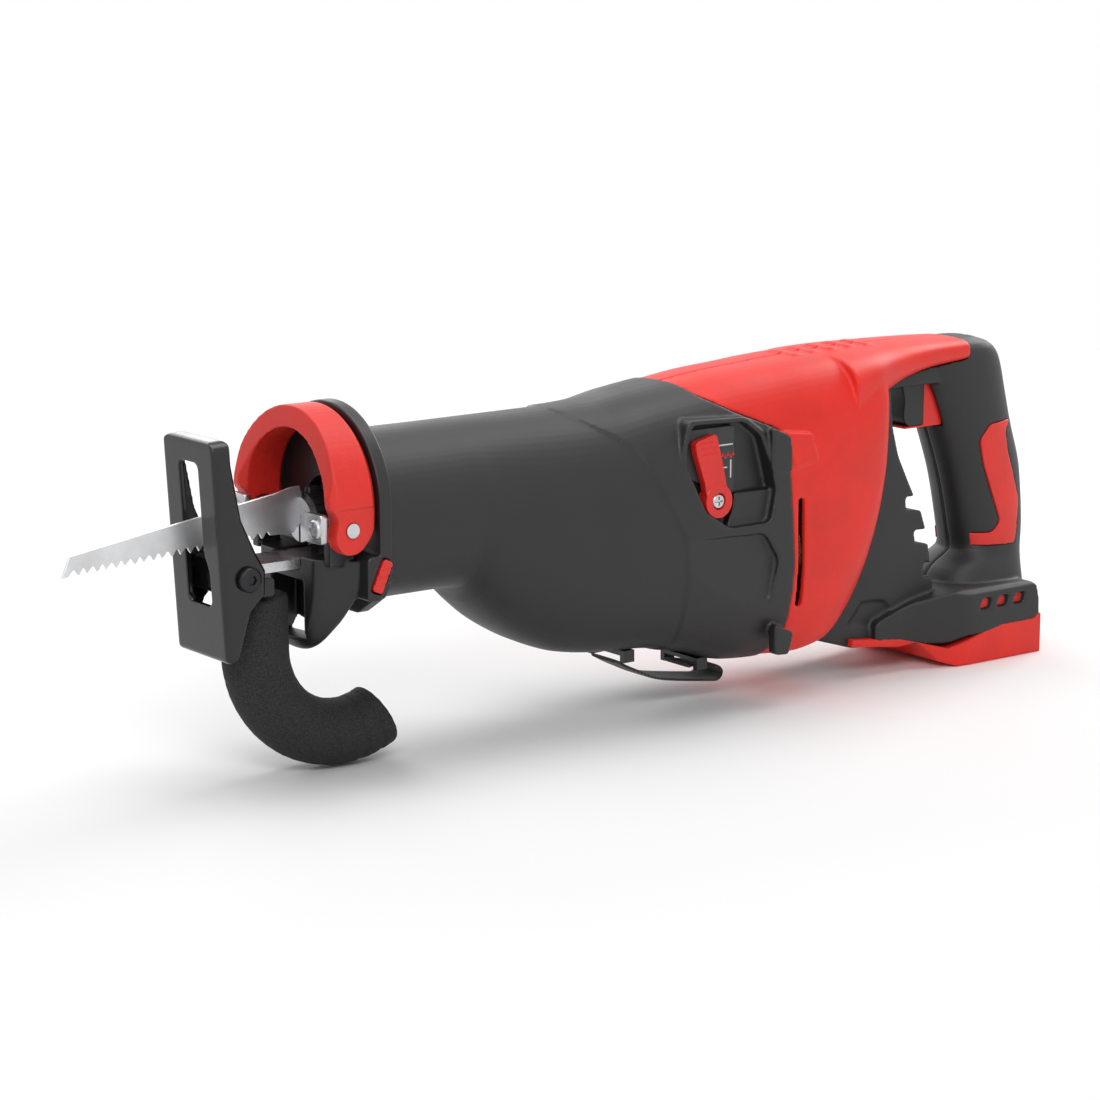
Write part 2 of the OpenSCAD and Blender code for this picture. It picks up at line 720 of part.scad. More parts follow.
module rotor_core() {
    color(cast) difference() {
        rod_x(core_r, stator_x, stator_x + stator_len, z = motor_z);
        rod_x(shaft_r, stator_x - 1, stator_x + stator_len + 1, z = motor_z);
    }
}

// Cooling fan in front of the motor, nine blades on a disc
module motor_fan() {
    color(black) difference() {
        union() {
            rod_x(7, fan_x, fan_x + 8, z = motor_z);
            rod_x(21, fan_x, fan_x + 1.6, z = motor_z);
            for (k = [0 : 8])
                translate([fan_x + 1.5, 0, motor_z]) rotate([k * 40, 0, 0])
                    translate([0, -0.8, 5]) cube([6, 1.6, 15.5]);
        }
        rod_x(shaft_r, fan_x - 1, fan_x + 9, z = motor_z);
    }
}

// Pinion whose teeth run in the teeth on the underside of the face gear
module motor_pinion() {
    x0 = gear_x + gear_pitch_r - 2;
    color(steel) difference() {
        union() {
            rod_x(pinion_root_r, x0, x0 + 6, z = motor_z);
            for (k = [0 : pinion_teeth - 1])
                translate([x0, 0, motor_z]) rotate([k * 360 / pinion_teeth, 0, 0]) rotate([90, 0, 90])
                    linear_extrude(4) polygon([[-0.8, pinion_root_r - 0.4], [0.8, pinion_root_r - 0.4],
                        [0.42, pinion_tip_r], [-0.42, pinion_tip_r]]);
        }
        rod_x(shaft_r, x0 - 1, x0 + 7, z = motor_z);
    }
}

module face_gear() {
    color(steel) difference() {
        union() {
            rod_z(gear_r, gear_z, gear_z + gear_t, gear_x);
            for (k = [0 : gear_teeth - 1])
                translate([gear_x, 0, gear_z]) rotate([0, 0, (k + 0.5) * 360 / gear_teeth])
                    translate([gear_pitch_r - 2, -0.6, -gear_tooth_h]) cube([4, 1.2, gear_tooth_h + 1]);
        }
        rod_z(spindle_r, gear_z - 4, gear_z + gear_t + 1, gear_x);
        rod_z(pin_r, gear_z - 4, gear_z + gear_t + 1, gear_x, -crank_r);
    }
}

module crank_spindle() {
    color(steel) rod_z(spindle_r, spindle_bottom, gear_z + gear_t, gear_x);
}

// Crank pin pressed in the gear, with the roller that drives the yoke
module crank_roller() {
    color(steel) {
        rod_z(pin_r, gear_z, gear_z + gear_t, gear_x, -crank_r);
        rod_z(roller_r, gear_z + gear_t, gear_z + gear_t + roller_h, gear_x, -crank_r);
    }
}

module counterweight() {
    color(cast) intersection() {
        difference() {
            rod_z(gear_r - 1, gear_z + gear_t, gear_z + gear_t + 6, gear_x);
            rod_z(12, gear_z + gear_t - 1, gear_z + gear_t + 7, gear_x);
        }
        box([gear_x - 40, 4, gear_z], [gear_x + 40, 60, gear_z + 30]);
    }
}

module bush(x, len) {
    color(copper) difference() {
        rod_x(plunger_r + bush_wall, x, x + len, z = axis_h);
        rod_x(plunger_r + run_gap, x - 1, x + len + 1, z = axis_h);
    }
}
module plunger_bush_front() bush(front_bush_x, front_bush_len);
module plunger_bush_rear() bush(rear_bush_x, rear_bush_len);

module plunger_seal() {
    color(black) difference() {
        rod_x(plunger_r + bush_wall, front_bush_x - seal_len - 1, front_bush_x - 1, z = axis_h);
        rod_x(plunger_r + run_gap, front_bush_x - seal_len - 2, front_bush_x, z = axis_h);
    }
}

module plunger_rod() {
    color(steel) difference() {
        rod_x(plunger_r, clamp_rear, rear_bush_x + crank_r + 12, z = axis_h);
        rod_x(plunger_r - 2.5, clamp_rear + 20, rear_bush_x + crank_r + 13, z = axis_h);
    }
}

// Cross slide under the plunger, in which the crank roller runs
module crank_yoke() {
    slot_r = roller_r + 0.1;
    color(steel) difference() {
        box([gear_x - yoke_half_x, -yoke_half_y, yoke_z], [gear_x + yoke_half_x, yoke_half_y, axis_h]);
        box([gear_x - slot_r, -crank_r - slot_r, yoke_z - 1], [gear_x + slot_r, crank_r + slot_r,
            yoke_z + 5]);
        rod_x(plunger_r, gear_x - 20, gear_x + 20, z = axis_h);
    }
}

// ---- blade clamp ----

module clamp_body() {
    color(steel) difference() {
        union() {
            rod_x(clamp_r - sleeve_wall - run_gap, clamp_front, clamp_rear, z = axis_h);
            rod_x(clamp_r, clamp_rear - 7, clamp_rear, z = axis_h);
        }
        box([clamp_front - 1, -blade_t / 2 - run_gap, axis_h - 20],
            [clamp_front + blade_tang + 1, blade_t / 2 + run_gap, axis_h + 20]);
    }
}

// Twisting sleeve that locks and frees the blade
module clamp_sleeve() {
    color(black) difference() {
        union() {
            rod_x(clamp_r, clamp_front + 2, clamp_front + 2 + sleeve_len, z = axis_h);
            translate([clamp_front + 4, -2, axis_h + clamp_r - 1.5]) cube([6, 4, 3.5]);
        }
        rod_x(clamp_r - sleeve_wall, clamp_front + 1, clamp_front + 3 + sleeve_len, z = axis_h);
        box([clamp_front, -3, 0], [clamp_front + 14, 3, axis_h - 4]);
        box([clamp_front, -0.9, axis_h], [clamp_front + 4.5, 0.9, 300]);
    }
}

module clamp_spring() {
    color(steel) difference() {
        rod_x(clamp_r - 0.4, clamp_front + sleeve_len + 2.5, clamp_rear - 7.4, z = axis_h);
        rod_x(clamp_r - sleeve_wall, clamp_front, clamp_rear, z = axis_h);
    }
}

// Blade with alternate teeth along its lower edge
module saw_blade() {
    teeth = floor((blade_len - 16) / tooth_pitch);
    tip = -blade_len;
    root_low = -blade_root_h / 2 + 0.5;
    color(steel) translate([clamp_front, 0, blade_z]) rotate([0, -blade_lean, 0])
        along_y(-blade_t / 2, blade_t / 2) difference() {
            polygon([[blade_tang, -4], [blade_tang, 4], [1.5, 4], [0.5, root_low + blade_root_h],
                [-4, root_low + blade_root_h], [-10, root_low + blade_root_h - 1.2],
                [tip + 4, root_low + blade_tip_h], [tip, root_low], [0, root_low], [1.5, -4]]);
            for (k = [0 : teeth - 1])
                translate([tip + 3 + k * tooth_pitch, root_low - eps])
                    polygon([[0, -0.2], [tooth_pitch - 0.2, -0.2], [tooth_pitch * 0.72, 2.4],
                        [tooth_pitch * 0.5, 2.4]]);
        }
}

// ---- shoe ----

module shoe_bar() {
    color(steel) difference() {
        box([pivot_x + 6, -bar_w / 2, bar_z], [bar_rear, bar_w / 2, bar_z + bar_t]);
        for (k = [0 : 2])
            box([collar_x - 2 + 10 * k, -bar_w / 2 - 1, bar_z - 1], [collar_x + 1 + 10 * k,
                -bar_w / 2 + 3, bar_z + 6]);
    }
}

// Bracket at the front of the bar that carries the shoe's hinge bolt
module shoe_bracket() {
    color(black) difference() {
        union() {
            box([pivot_x - 6, -bracket_half, bar_z - 8], [pivot_x + 6, bracket_half, bar_z + 6]);
            box([pivot_x + 5.9, -bracket_half, bar_z - 8], [pivot_x + 14, bracket_half, bar_z - eps]);
        }
        rod_y(pivot_r, -shoe_w, shoe_w, pivot_x, pivot_z);
        rod_z(rod_r, 0, bar_z, hook_x);
    }
}

module shoe_pivot_bolt() {
    color(steel) {
        rod_y(pivot_r, -shoe_w / 2 - 1, shoe_w / 2 + 1, pivot_x, pivot_z);
        for (s = [-1, 1])
            translate([pivot_x, s * (shoe_w / 2 + 1.8), pivot_z]) rotate([90, 0, 0])
                difference() {
                    cylinder(r = 5.2, h = 3, center = true);
                    translate([0, 0, -s * 1.2]) cylinder(r = 1.8, h = 2, center = true, $fn = 6);
                }
    }
}

// The U-shaped shoe plate, in its own upright frame about the hinge bolt
module shoe_plate() {
    low = shoe_up - shoe_h;
    half_w = shoe_w / 2;
    ear = 10;
    difference() {
        union() {
            box([-shoe_front, -half_w, low], [-shoe_front + shoe_t, half_w, shoe_up]);
            for (s = [-1, 1])
                along_y(s < 0 ? -half_w : half_w - shoe_t, s < 0 ? -half_w + shoe_t : half_w) {
                    polygon([[-shoe_front, low], [-shoe_front + 10, low], [-5, -14], [7, -8], [7, 6],
                        [-2, 22], [-shoe_front + 10, shoe_up], [-shoe_front, shoe_up]]);
                    circle(r = ear);
                }
            box([-shoe_front, -half_w, shoe_up - shoe_t], [-shoe_front + 9, half_w, shoe_up]);
            box([-shoe_front, -half_w, low], [-shoe_front + 9, half_w, low + shoe_t]);
        }
        along_x(-shoe_front - 1, -shoe_front + shoe_t + 1) {
            translate([-slot_w / 2, slot_low]) square([slot_w, shoe_up - slot_top - slot_low]);
            translate([-slot_w / 2 - 3, slot_low]) square([slot_w + 3.5, 20]);
        }
        rod_y(pivot_r + run_gap, -shoe_w, shoe_w);
    }
}

module shoe() {
    color(black) translate([pivot_x, 0, pivot_z]) rotate([0, -shoe_lean, 0]) shoe_plate();
}

module hook_turn(sweep) {
    translate([hook_x + hook_bend, 0, hook_z]) rotate([90, 0, 0]) rotate([0, 0, 180])
        rotate_extrude(angle = sweep) translate([hook_bend, 0]) children();
}

// Steel rod of the front hook, hidden in the foam
module hook_rod() {
    color(steel) union() {
        rod_z(rod_r, hook_z, bar_z - eps, hook_x);
        hook_turn(hook_sweep - 4) circle(r = rod_r);
    }
}

// Foam sleeve on the hook, a tube round the rod with a closed end
module foam_sleeve() {
    color(foam_grey) {
        difference() {
            rod_z(foam_d / 2, hook_z, foam_top, hook_x);
            rod_z(rod_r, hook_z - 1, bar_z, hook_x);
        }
        hook_turn(hook_sweep) difference() {
            circle(r = foam_d / 2);
            circle(r = rod_r);
        }
    }
}

// ---- release bow ----

// Red bow over the blade clamp, swung forward to free the blade
module release_bow() {
    color(red) difference() {
        union() {
            along_x(bow_front, bow_rear) arch(bow_r, bow_r, axis_h + 7);
            for (s = [-1, 1])
                rod_y(bow_leg_r, s < 0 ? -bow_r : bow_r - bow_wall, s < 0 ? -bow_r + bow_wall : bow_r,
                    bow_pivot_x, bow_pivot_z);
        }
        along_x(bow_front - 1, bow_rear + 1) arch(bow_r - bow_wall, bow_r - bow_wall, 0);
        rod_y(bow_pin_r + run_gap, -60, 60, bow_pivot_x, bow_pivot_z);
    }
}

module bow_pivot_pins() {
    color(steel) for (s = [-1, 1])
        rod_y(bow_pin_r, s < 0 ? -bow_r + 1 : ear_inner - 1, s < 0 ? -ear_inner + 1 : bow_r - 1,
            bow_pivot_x, bow_pivot_z);
}

// Steel plates screwed on the front of the bow's legs, which push the clamp sleeve round
module bow_cam_plates() {
    color(steel) for (s = [-1, 1]) {
        box([bow_front - 3, s < 0 ? -bow_r + 5 : 23, axis_h - 4], [bow_front, s < 0 ? -23 : bow_r - 5,
            axis_h + 9]);
        rod_x(4, bow_front - 5, bow_front - 3, y = s * (bow_r - 8), z = axis_h + 2);
    }
}

// Bent wire spring that swings the bow back
module bow_return_wire() {
    color(steel) {
        rod_z(1, chin_top, axis_h + 24, collar_front - 2.2, -20);
        rod_x(1, collar_front - 3, collar_front, y = -20, z = axis_h + 24);
    }
}

// ---- trigger ----

module trigger_body() {
    color(red) box([trigger_x + 14, -trigger_w / 2, trigger_z0 + 1],
        [switch_x - trigger_travel - 6, trigger_w / 2, trigger_z1 - 1]);
}

module trigger_front() {
    color(black) box([trigger_x, -trigger_w / 2, trigger_z0 + 1],
        [trigger_x + 14, trigger_w / 2, trigger_z1 - 1]);
}

gear_cover();
gear_case();
nose_collar();
motor_housing_left();
motor_housing_right();
handle_shell_left();
handle_shell_right();
grip_inlay_left();
grip_inlay_right();
battery_foot();
terminal_block();
battery_contacts();
housing_screws();
stroke_dial();
strap();
strap_anchor();
motor_stator();
stator_windings();
control_board();
trigger_switch();
rotor_bearing_front();
rotor_bearing_rear();
spindle_bearing_upper();
spindle_bearing_lower();
plunger_bush_front();
plunger_bush_rear();
plunger_seal();
bow_pivot_pins();
bow_return_wire();
rotor_shaft();
rotor_core();
motor_fan();
motor_pinion();
face_gear();
crank_spindle();
crank_roller();
counterweight();
plunger_rod();
crank_yoke();
clamp_body();
clamp_spring();
saw_blade();
clamp_sleeve();
shoe_bar();
shoe_bracket();
hook_rod();
foam_sleeve();
shoe_pivot_bolt();
shoe();
release_bow();
bow_cam_plates();
shoe_release_button();
stroke_lever();
stroke_lever_screw();
stroke_shaft();
trigger_front();
trigger_body();
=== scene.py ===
"""A cordless reciprocating saw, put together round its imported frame.

+X runs to the rear handle, the blade points along -X, +Z is up, and the
side with the stroke lever is -Y. Sizes are in millimetres, and MM turns
them into Blender's metres.
"""
import math

import bmesh
import bpy
from mathutils import Matrix, Vector, noise


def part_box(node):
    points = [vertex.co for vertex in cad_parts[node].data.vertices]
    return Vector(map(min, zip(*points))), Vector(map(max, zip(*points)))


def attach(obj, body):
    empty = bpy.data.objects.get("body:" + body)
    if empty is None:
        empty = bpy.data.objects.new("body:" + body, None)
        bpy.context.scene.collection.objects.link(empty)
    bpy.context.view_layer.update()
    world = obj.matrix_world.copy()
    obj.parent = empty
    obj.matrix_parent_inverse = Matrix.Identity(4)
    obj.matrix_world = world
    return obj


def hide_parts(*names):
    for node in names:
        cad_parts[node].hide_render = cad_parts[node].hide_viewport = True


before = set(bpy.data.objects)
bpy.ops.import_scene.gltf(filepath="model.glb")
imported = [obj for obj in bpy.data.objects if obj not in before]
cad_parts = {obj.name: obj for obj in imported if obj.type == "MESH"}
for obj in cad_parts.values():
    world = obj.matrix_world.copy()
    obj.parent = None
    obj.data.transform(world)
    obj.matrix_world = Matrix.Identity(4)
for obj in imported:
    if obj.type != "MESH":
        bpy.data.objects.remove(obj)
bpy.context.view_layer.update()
bpy.ops.object.select_all(action="DESELECT")

# ---- camera, lights and floor ----
# A long lens stands low at the front left of the tool. Three large soft
# boxes and a pale room light it, and the floor fades to white far away.

bpy.ops.object.camera_add(
    location=(-0.8107, -1.0468, 0.3442),
    rotation=(math.radians(78.5), 0, math.radians(-37)),
)
camera = bpy.context.object
camera.data.sensor_width = 36
camera.data.lens = 100.67
bpy.context.scene.camera = camera
bpy.context.scene.view_settings.view_transform = "Standard"


def soft_box(name, place, target, size, power):
    """A rectangular lamp that faces a point."""
    bpy.ops.object.light_add(type="AREA", location=place)
    lamp = bpy.context.object
    lamp.name = name
    lamp.data.shape = "RECTANGLE"
    lamp.data.size, lamp.data.size_y = size
    lamp.data.energy = power
    aim = Vector(target) - Vector(place)
    lamp.rotation_euler = aim.to_track_quat("-Z", "Y").to_euler()
    return lamp


middle = (0.0, 0.0, 0.08)
soft_box("key_box", (-0.9, -1.3, 1.2), middle, (0.9, 0.6), 12)
soft_box("top_box", (0.1, 0.1, 1.7), middle, (1.6, 1.0), 14)
soft_box("rear_box", (1.4, 0.3, 0.9), middle, (0.8, 0.8), 9)
soft_box("back_box", (0.2, 1.6, 0.8), middle, (1.4, 0.8), 8)

world = bpy.data.worlds.new("pale_room")
bpy.context.scene.world = world
world.use_nodes = True
room = world.node_tree
room.nodes.clear()
room_out = room.nodes.new("ShaderNodeOutputWorld")
room_light = room.nodes.new("ShaderNodeBackground")
room_light.inputs["Color"].default_value = (1, 1, 1, 1)
room_light.inputs["Strength"].default_value = 0.32
room_seen = room.nodes.new("ShaderNodeBackground")
room_seen.inputs["Color"].default_value = (1, 1, 1, 1)
room_seen.inputs["Strength"].default_value = 1.0
room_rays = room.nodes.new("ShaderNodeLightPath")
room_mix = room.nodes.new("ShaderNodeMixShader")
mirrored = room.nodes.new("ShaderNodeMath")
mirrored.operation = "MAXIMUM"
seen = room.nodes.new("ShaderNodeMath")
seen.operation = "MAXIMUM"
room.links.new(room_rays.outputs["Is Glossy Ray"], mirrored.inputs[0])
room.links.new(room_rays.outputs["Is Transmission Ray"], mirrored.inputs[1])
room.links.new(room_rays.outputs["Is Camera Ray"], seen.inputs[0])
room.links.new(mirrored.outputs[0], seen.inputs[1])
room.links.new(seen.outputs[0], room_mix.inputs["Fac"])
room.links.new(room_light.outputs[0], room_mix.inputs[1])
room.links.new(room_seen.outputs[0], room_mix.inputs[2])
room.links.new(room_mix.outputs[0], room_out.inputs["Surface"])

bpy.ops.mesh.primitive_circle_add(vertices=96, radius=14, fill_type="NGON")
floor = bpy.context.object
floor.name = "floor"
for corner in floor.data.vertices:
    corner.co.z = -0.0002
floor_paint = bpy.data.materials.new("pale_floor")
floor_paint.use_nodes = True
tree = floor_paint.node_tree
paint = tree.nodes["Principled BSDF"]
paint.inputs["Base Color"].default_value = (0.93, 0.93, 0.93, 1)
paint.inputs["Roughness"].default_value = 0.8
paint.inputs["Specular IOR Level"].default_value = 0.1
white = tree.nodes.new("ShaderNodeEmission")
white.inputs["Color"].default_value = (1, 1, 1, 1)
coords = tree.nodes.new("ShaderNodeTexCoord")
length = tree.nodes.new("ShaderNodeVectorMath")
length.operation = "LENGTH"
fade = tree.nodes.new("ShaderNodeMapRange")
fade.inputs["From Min"].default_value = 0.45
fade.inputs["From Max"].default_value = 1.3
rays = tree.nodes.new("ShaderNodeLightPath")
floor_mirrored = tree.nodes.new("ShaderNodeMath")
floor_mirrored.operation = "MAXIMUM"
floor_seen = tree.nodes.new("ShaderNodeMath")
floor_seen.operation = "MAXIMUM"
both = tree.nodes.new("ShaderNodeMath")
both.operation = "MULTIPLY"
floor_mix = tree.nodes.new("ShaderNodeMixShader")
tree.links.new(coords.outputs["Object"], length.inputs[0])
tree.links.new(length.outputs["Value"], fade.inputs["Value"])
tree.links.new(rays.outputs["Is Glossy Ray"], floor_mirrored.inputs[0])
tree.links.new(rays.outputs["Is Transmission Ray"], floor_mirrored.inputs[1])
tree.links.new(rays.outputs["Is Camera Ray"], floor_seen.inputs[0])
tree.links.new(floor_mirrored.outputs[0], floor_seen.inputs[1])
tree.links.new(fade.outputs["Result"], both.inputs[0])
tree.links.new(floor_seen.outputs[0], both.inputs[1])
tree.links.new(both.outputs[0], floor_mix.inputs["Fac"])
tree.links.new(paint.outputs[0], floor_mix.inputs[1])
tree.links.new(white.outputs[0], floor_mix.inputs[2])
tree.links.new(floor_mix.outputs[0], tree.nodes["Material Output"].inputs["Surface"])
floor.data.materials.append(floor_paint)

# ---- gear housing cover ----
# A soft black moulded cover fits over the cast gear case, from the collar to
# the joint with the red housing. It has a pocket for the stroke lever, a
# shallow panel below it, and two tabs that lap over the red housing.

MM = 0.001


def in_mm(node):
    """The lowest and highest corner of a frame node, in millimetres."""
    low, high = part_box(node)
    return low / MM, high / MM


AXIS_Z = sum(corner.z for corner in in_mm("plunger_rod")) / 2
GEAR_X = sum(corner.x for corner in in_mm("crank_spindle")) / 2
COLLAR_X = in_mm("nose_collar")[1].x
SIDE = in_mm("motor_housing_left")[0].y
SPLIT_X = GEAR_X + 104
REAR_X = SPLIT_X + 66
BARREL_R = 35.5
BARREL_Z = AXIS_Z - 1
COVER_HALF = -SIDE
WALL = 3

# Sections along the body: place, top, bottom, half width, squareness
BODY = [
    (COLLAR_X + 0.3, BARREL_Z + BARREL_R, BARREL_Z - BARREL_R, BARREL_R, 2.05),
    (COLLAR_X + 30, BARREL_Z + BARREL_R, BARREL_Z - BARREL_R, BARREL_R, 2.05),
    (GEAR_X - 62, BARREL_Z + BARREL_R, BARREL_Z - BARREL_R, BARREL_R, 2.1),
    (GEAR_X - 52, BARREL_Z + BARREL_R, AXIS_Z - 46, BARREL_R + 0.4, 2.2),
    (GEAR_X - 40, BARREL_Z + BARREL_R, AXIS_Z - 56, BARREL_R + 1, 2.3),
    (GEAR_X - 22, BARREL_Z + BARREL_R, AXIS_Z - 66, BARREL_R + 2, 2.4),
    (GEAR_X - 4, BARREL_Z + BARREL_R, AXIS_Z - 72.5, BARREL_R + 2.8, 2.5),
    (GEAR_X + 14, AXIS_Z + 35, AXIS_Z - 75, COVER_HALF - 1.6, 2.6),
    (GEAR_X + 34, AXIS_Z + 38, AXIS_Z - 76, COVER_HALF - 0.8, 2.8),
    (GEAR_X + 60, AXIS_Z + 41, AXIS_Z - 80, COVER_HALF, 3.0),
    (GEAR_X + 82, AXIS_Z + 43.5, AXIS_Z - 86.5, COVER_HALF, 3.2),
    (SPLIT_X, AXIS_Z + 45, AXIS_Z - 88, COVER_HALF, 3.3),
    (SPLIT_X + 16, AXIS_Z + 46.2, AXIS_Z - 89, COVER_HALF, 3.4),
    (REAR_X - 36, AXIS_Z + 47, AXIS_Z - 87, COVER_HALF - 0.6, 3.4),
    (REAR_X - 26, AXIS_Z + 47.4, AXIS_Z - 78, COVER_HALF - 1.4, 3.3),
    (REAR_X - 16, AXIS_Z + 47.8, AXIS_Z - 61, COVER_HALF - 2.6, 3.2),
    (REAR_X - 8, AXIS_Z + 48, AXIS_Z - 38, COVER_HALF - 4.4, 3.0),
    (REAR_X - WALL, AXIS_Z + 48, AXIS_Z - 10, COVER_HALF - 8, 2.8),
    (REAR_X, AXIS_Z + 48, AXIS_Z + 8, COVER_HALF - 14, 2.6),
]


def row_at(rows, place):
    """The section at a place, on a smooth curve through the rows."""
    k = 0
    while k < len(rows) - 2 and rows[k + 1][0] < place:
        k += 1

    def climb(i, column):
        return (rows[i + 1][column] - rows[i][column]) / (rows[i + 1][0] - rows[i][0])

    def slope(i, column):
        if i == 0 or i == len(rows) - 1:
            return climb(min(i, len(rows) - 2), column)
        before, after = climb(i - 1, column), climb(i, column)
        return 2 * before * after / (before + after) if before * after > 0 else 0

    run = rows[k + 1][0] - rows[k][0]
    u = min(max((place - rows[k][0]) / run, 0), 1)
    found = []
    for column in range(1, len(rows[0])):
        found.append(
            (2 * u**3 - 3 * u**2 + 1) * rows[k][column]
            + (u**3 - 2 * u**2 + u) * run * slope(k, column)
            + (3 * u**2 - 2 * u**3) * rows[k + 1][column]
            + (u**3 - u**2) * run * slope(k + 1, column)
        )
    return found


def pick(*pieces):
    """Only these pieces are selected, and the first is active."""
    bpy.ops.object.select_all(action="DESELECT")
    for piece in pieces:
        piece.select_set(True)
    bpy.context.view_layer.objects.active = pieces[0]


def outward(piece):
    """Doubles are merged and every face is turned to point out."""
    pick(piece)
    bpy.ops.object.mode_set(mode="EDIT")
    bpy.ops.mesh.select_all(action="SELECT")
    bpy.ops.mesh.remove_doubles(threshold=0.00001)
    bpy.ops.mesh.normals_make_consistent(inside=False)
    bpy.ops.object.mode_set(mode="OBJECT")
    return piece


def drawn_out(name, rings, points, place):
    """A closed tube drawn out ring by ring, each ring then set by place(ring, angle)."""
    bpy.ops.mesh.primitive_circle_add(vertices=points, radius=1, fill_type="NGON")
    piece = bpy.context.object
    piece.name = piece.data.name = name
    bpy.ops.object.mode_set(mode="EDIT")
    bpy.ops.mesh.select_all(action="SELECT")
    for _ in range(rings - 1):
        bpy.ops.mesh.extrude_region_move(TRANSFORM_OT_translate={"value": (0, 0, 1)})
    bpy.ops.object.mode_set(mode="OBJECT")
    for corner in piece.data.vertices:
        angle = math.atan2(corner.co.y, corner.co.x)
        corner.co = Vector(place(round(corner.co.z), angle)) * MM
    return outward(piece)


def power(value, squareness):
    return math.copysign(abs(value) ** (2 / squareness), value)


def body_loft(name, rows, inset=0, rings=80, points=72):
    """A smooth body along X through the sections."""
    first, last = rows[0][0], rows[-1][0]

    def place(ring, angle):
        x = first + (last - first) * ring / (rings - 1)
        top, bottom, half, square = row_at(rows, x)
        return (
            x,
            (half - inset) * power(math.cos(angle), square),
            (top + bottom) / 2
            + ((top - bottom) / 2 - inset) * power(math.sin(angle), square),
        )

    return drawn_out(name, rings, points, place)


def prism(name, outline, low, high, along="Y", round_off=0, steps=5):
    """An outline of (X, Z), (Y, Z) or (X, Y) points made a block along the third axis."""
    bpy.ops.mesh.primitive_circle_add(
        vertices=len(outline), radius=1, fill_type="NGON"
    )
    piece = bpy.context.object
    piece.name = piece.data.name = name
    for corner, (a, b) in zip(piece.data.vertices, outline):
        corner.co = (a * MM, b * MM, 0)
    bpy.ops.object.mode_set(mode="EDIT")
    bpy.ops.mesh.select_all(action="SELECT")
    lift = (high - low) * MM
    bpy.ops.mesh.extrude_region_move(TRANSFORM_OT_translate={"value": (0, 0, lift)})
    if round_off:
        mesh = bmesh.from_edit_mesh(piece.data)
        for edge in mesh.edges:
            ends = edge.verts[0].co - edge.verts[1].co
            edge.select_set(abs(ends.z) > lift * 0.5)
        bmesh.update_edit_mesh(piece.data)
        bpy.ops.mesh.bevel(offset=round_off * MM, segments=steps, affect="EDGES")
    bpy.ops.object.mode_set(mode="OBJECT")
    for corner in piece.data.vertices:
        a, b, c = corner.co.x, corner.co.y, corner.co.z + low * MM
        if along == "Y":
            corner.co = (a, c, b)
        elif along == "X":
            corner.co = (c, a, b)
        else:
            corner.co = (a, b, c)
    return outward(piece)


def rod(name, radius, low, high, centre, along="Y", points=48):
    """A round bar along one axis; centre gives the other two coordinates."""
    ring = [
        (
            centre[0] + radius * math.cos(2 * math.pi * k / points),
            centre[1] + radius * math.sin(2 * math.pi * k / points),
        )
        for k in range(points)
    ]
    return prism(name, ring, low, high, along)


def block(name, low, high, round_off=0):
    outline = [(low[0], low[2]), (high[0], low[2]), (high[0], high[2]), (low[0], high[2])]
    return prism(name, outline, low[1], high[1], "Y", round_off)


def combine(piece, other, how, keep=False):
    """other is cut from, joined to or kept in common with piece."""
    pick(piece)
    step = piece.modifiers.new("combine", "BOOLEAN")
    step.operation = how
    step.solver = "EXACT"
    step.object = other
    bpy.ops.object.modifier_apply(modifier=step.name)
    if not keep:
        bpy.data.objects.remove(other)
    return piece


def cut(piece, *others, keep=False):
    for other in others:
        combine(piece, other, "DIFFERENCE", keep)
    return piece


def join(piece, *others):
    for other in others:
        combine(piece, other, "UNION")
    return piece


def copy_of(piece, name):
    twin = piece.copy()
    twin.data = piece.data.copy()
    twin.name = twin.data.name = name
    bpy.context.scene.collection.objects.link(twin)
    return twin


def softened(piece, grid, passes=6, keep=1.0):
    """Rounds every edge of a moulding as its tool would, and evens out the mesh."""
    pick(piece)
    step = piece.modifiers.new("mould", "REMESH")
    step.mode = "VOXEL"
    step.voxel_size = grid * MM
    step.use_smooth_shade = True
    bpy.ops.object.modifier_apply(modifier=step.name)
    step = piece.modifiers.new("round", "SMOOTH")
    step.factor = 0.5
    step.iterations = passes
    bpy.ops.object.modifier_apply(modifier=step.name)
    if keep < 1:
        step = piece.modifiers.new("thin", "DECIMATE")
        step.ratio = keep
        bpy.ops.object.modifier_apply(modifier=step.name)
    pick(piece)
    bpy.ops.object.shade_smooth()
    return piece


def crisp(piece, width=0.4, segments=2, limit=35):
    """A machined or pressed piece: narrow bevels on its sharp edges."""
    pick(piece)
    step = piece.modifiers.new("bevel", "BEVEL")
    step.width = width * MM
    step.segments = segments
    step.limit_method = "ANGLE"
    step.angle_limit = math.radians(limit)
    step.harden_normals = False
    bpy.ops.object.modifier_apply(modifier=step.name)
    bpy.ops.object.shade_smooth_by_angle(angle=math.radians(32))
    return piece


# Shader groups that several finishes share


def group_tree(name, inputs, outputs):
    """An empty shader group with named number inputs and outputs."""
    tree = bpy.data.node_groups.new(name, "ShaderNodeTree")
    for label, value in inputs:
        socket = tree.interface.new_socket(
            label, in_out="INPUT", socket_type="NodeSocketFloat"
        )
        socket.default_value = value
    for label in outputs:
        tree.interface.new_socket(
            label, in_out="OUTPUT", socket_type="NodeSocketFloat"
        )
    start = tree.nodes.new("NodeGroupInput")
    end = tree.nodes.new("NodeGroupOutput")
    return tree, start, end


def maths(tree, operation, *values):
    node = tree.nodes.new("ShaderNodeMath")
    node.operation = operation
    for k, value in enumerate(values):
        if isinstance(value, bpy.types.NodeSocket):
            tree.links.new(value, node.inputs[k])
        else:
            node.inputs[k].default_value = value
    return node.outputs[0]


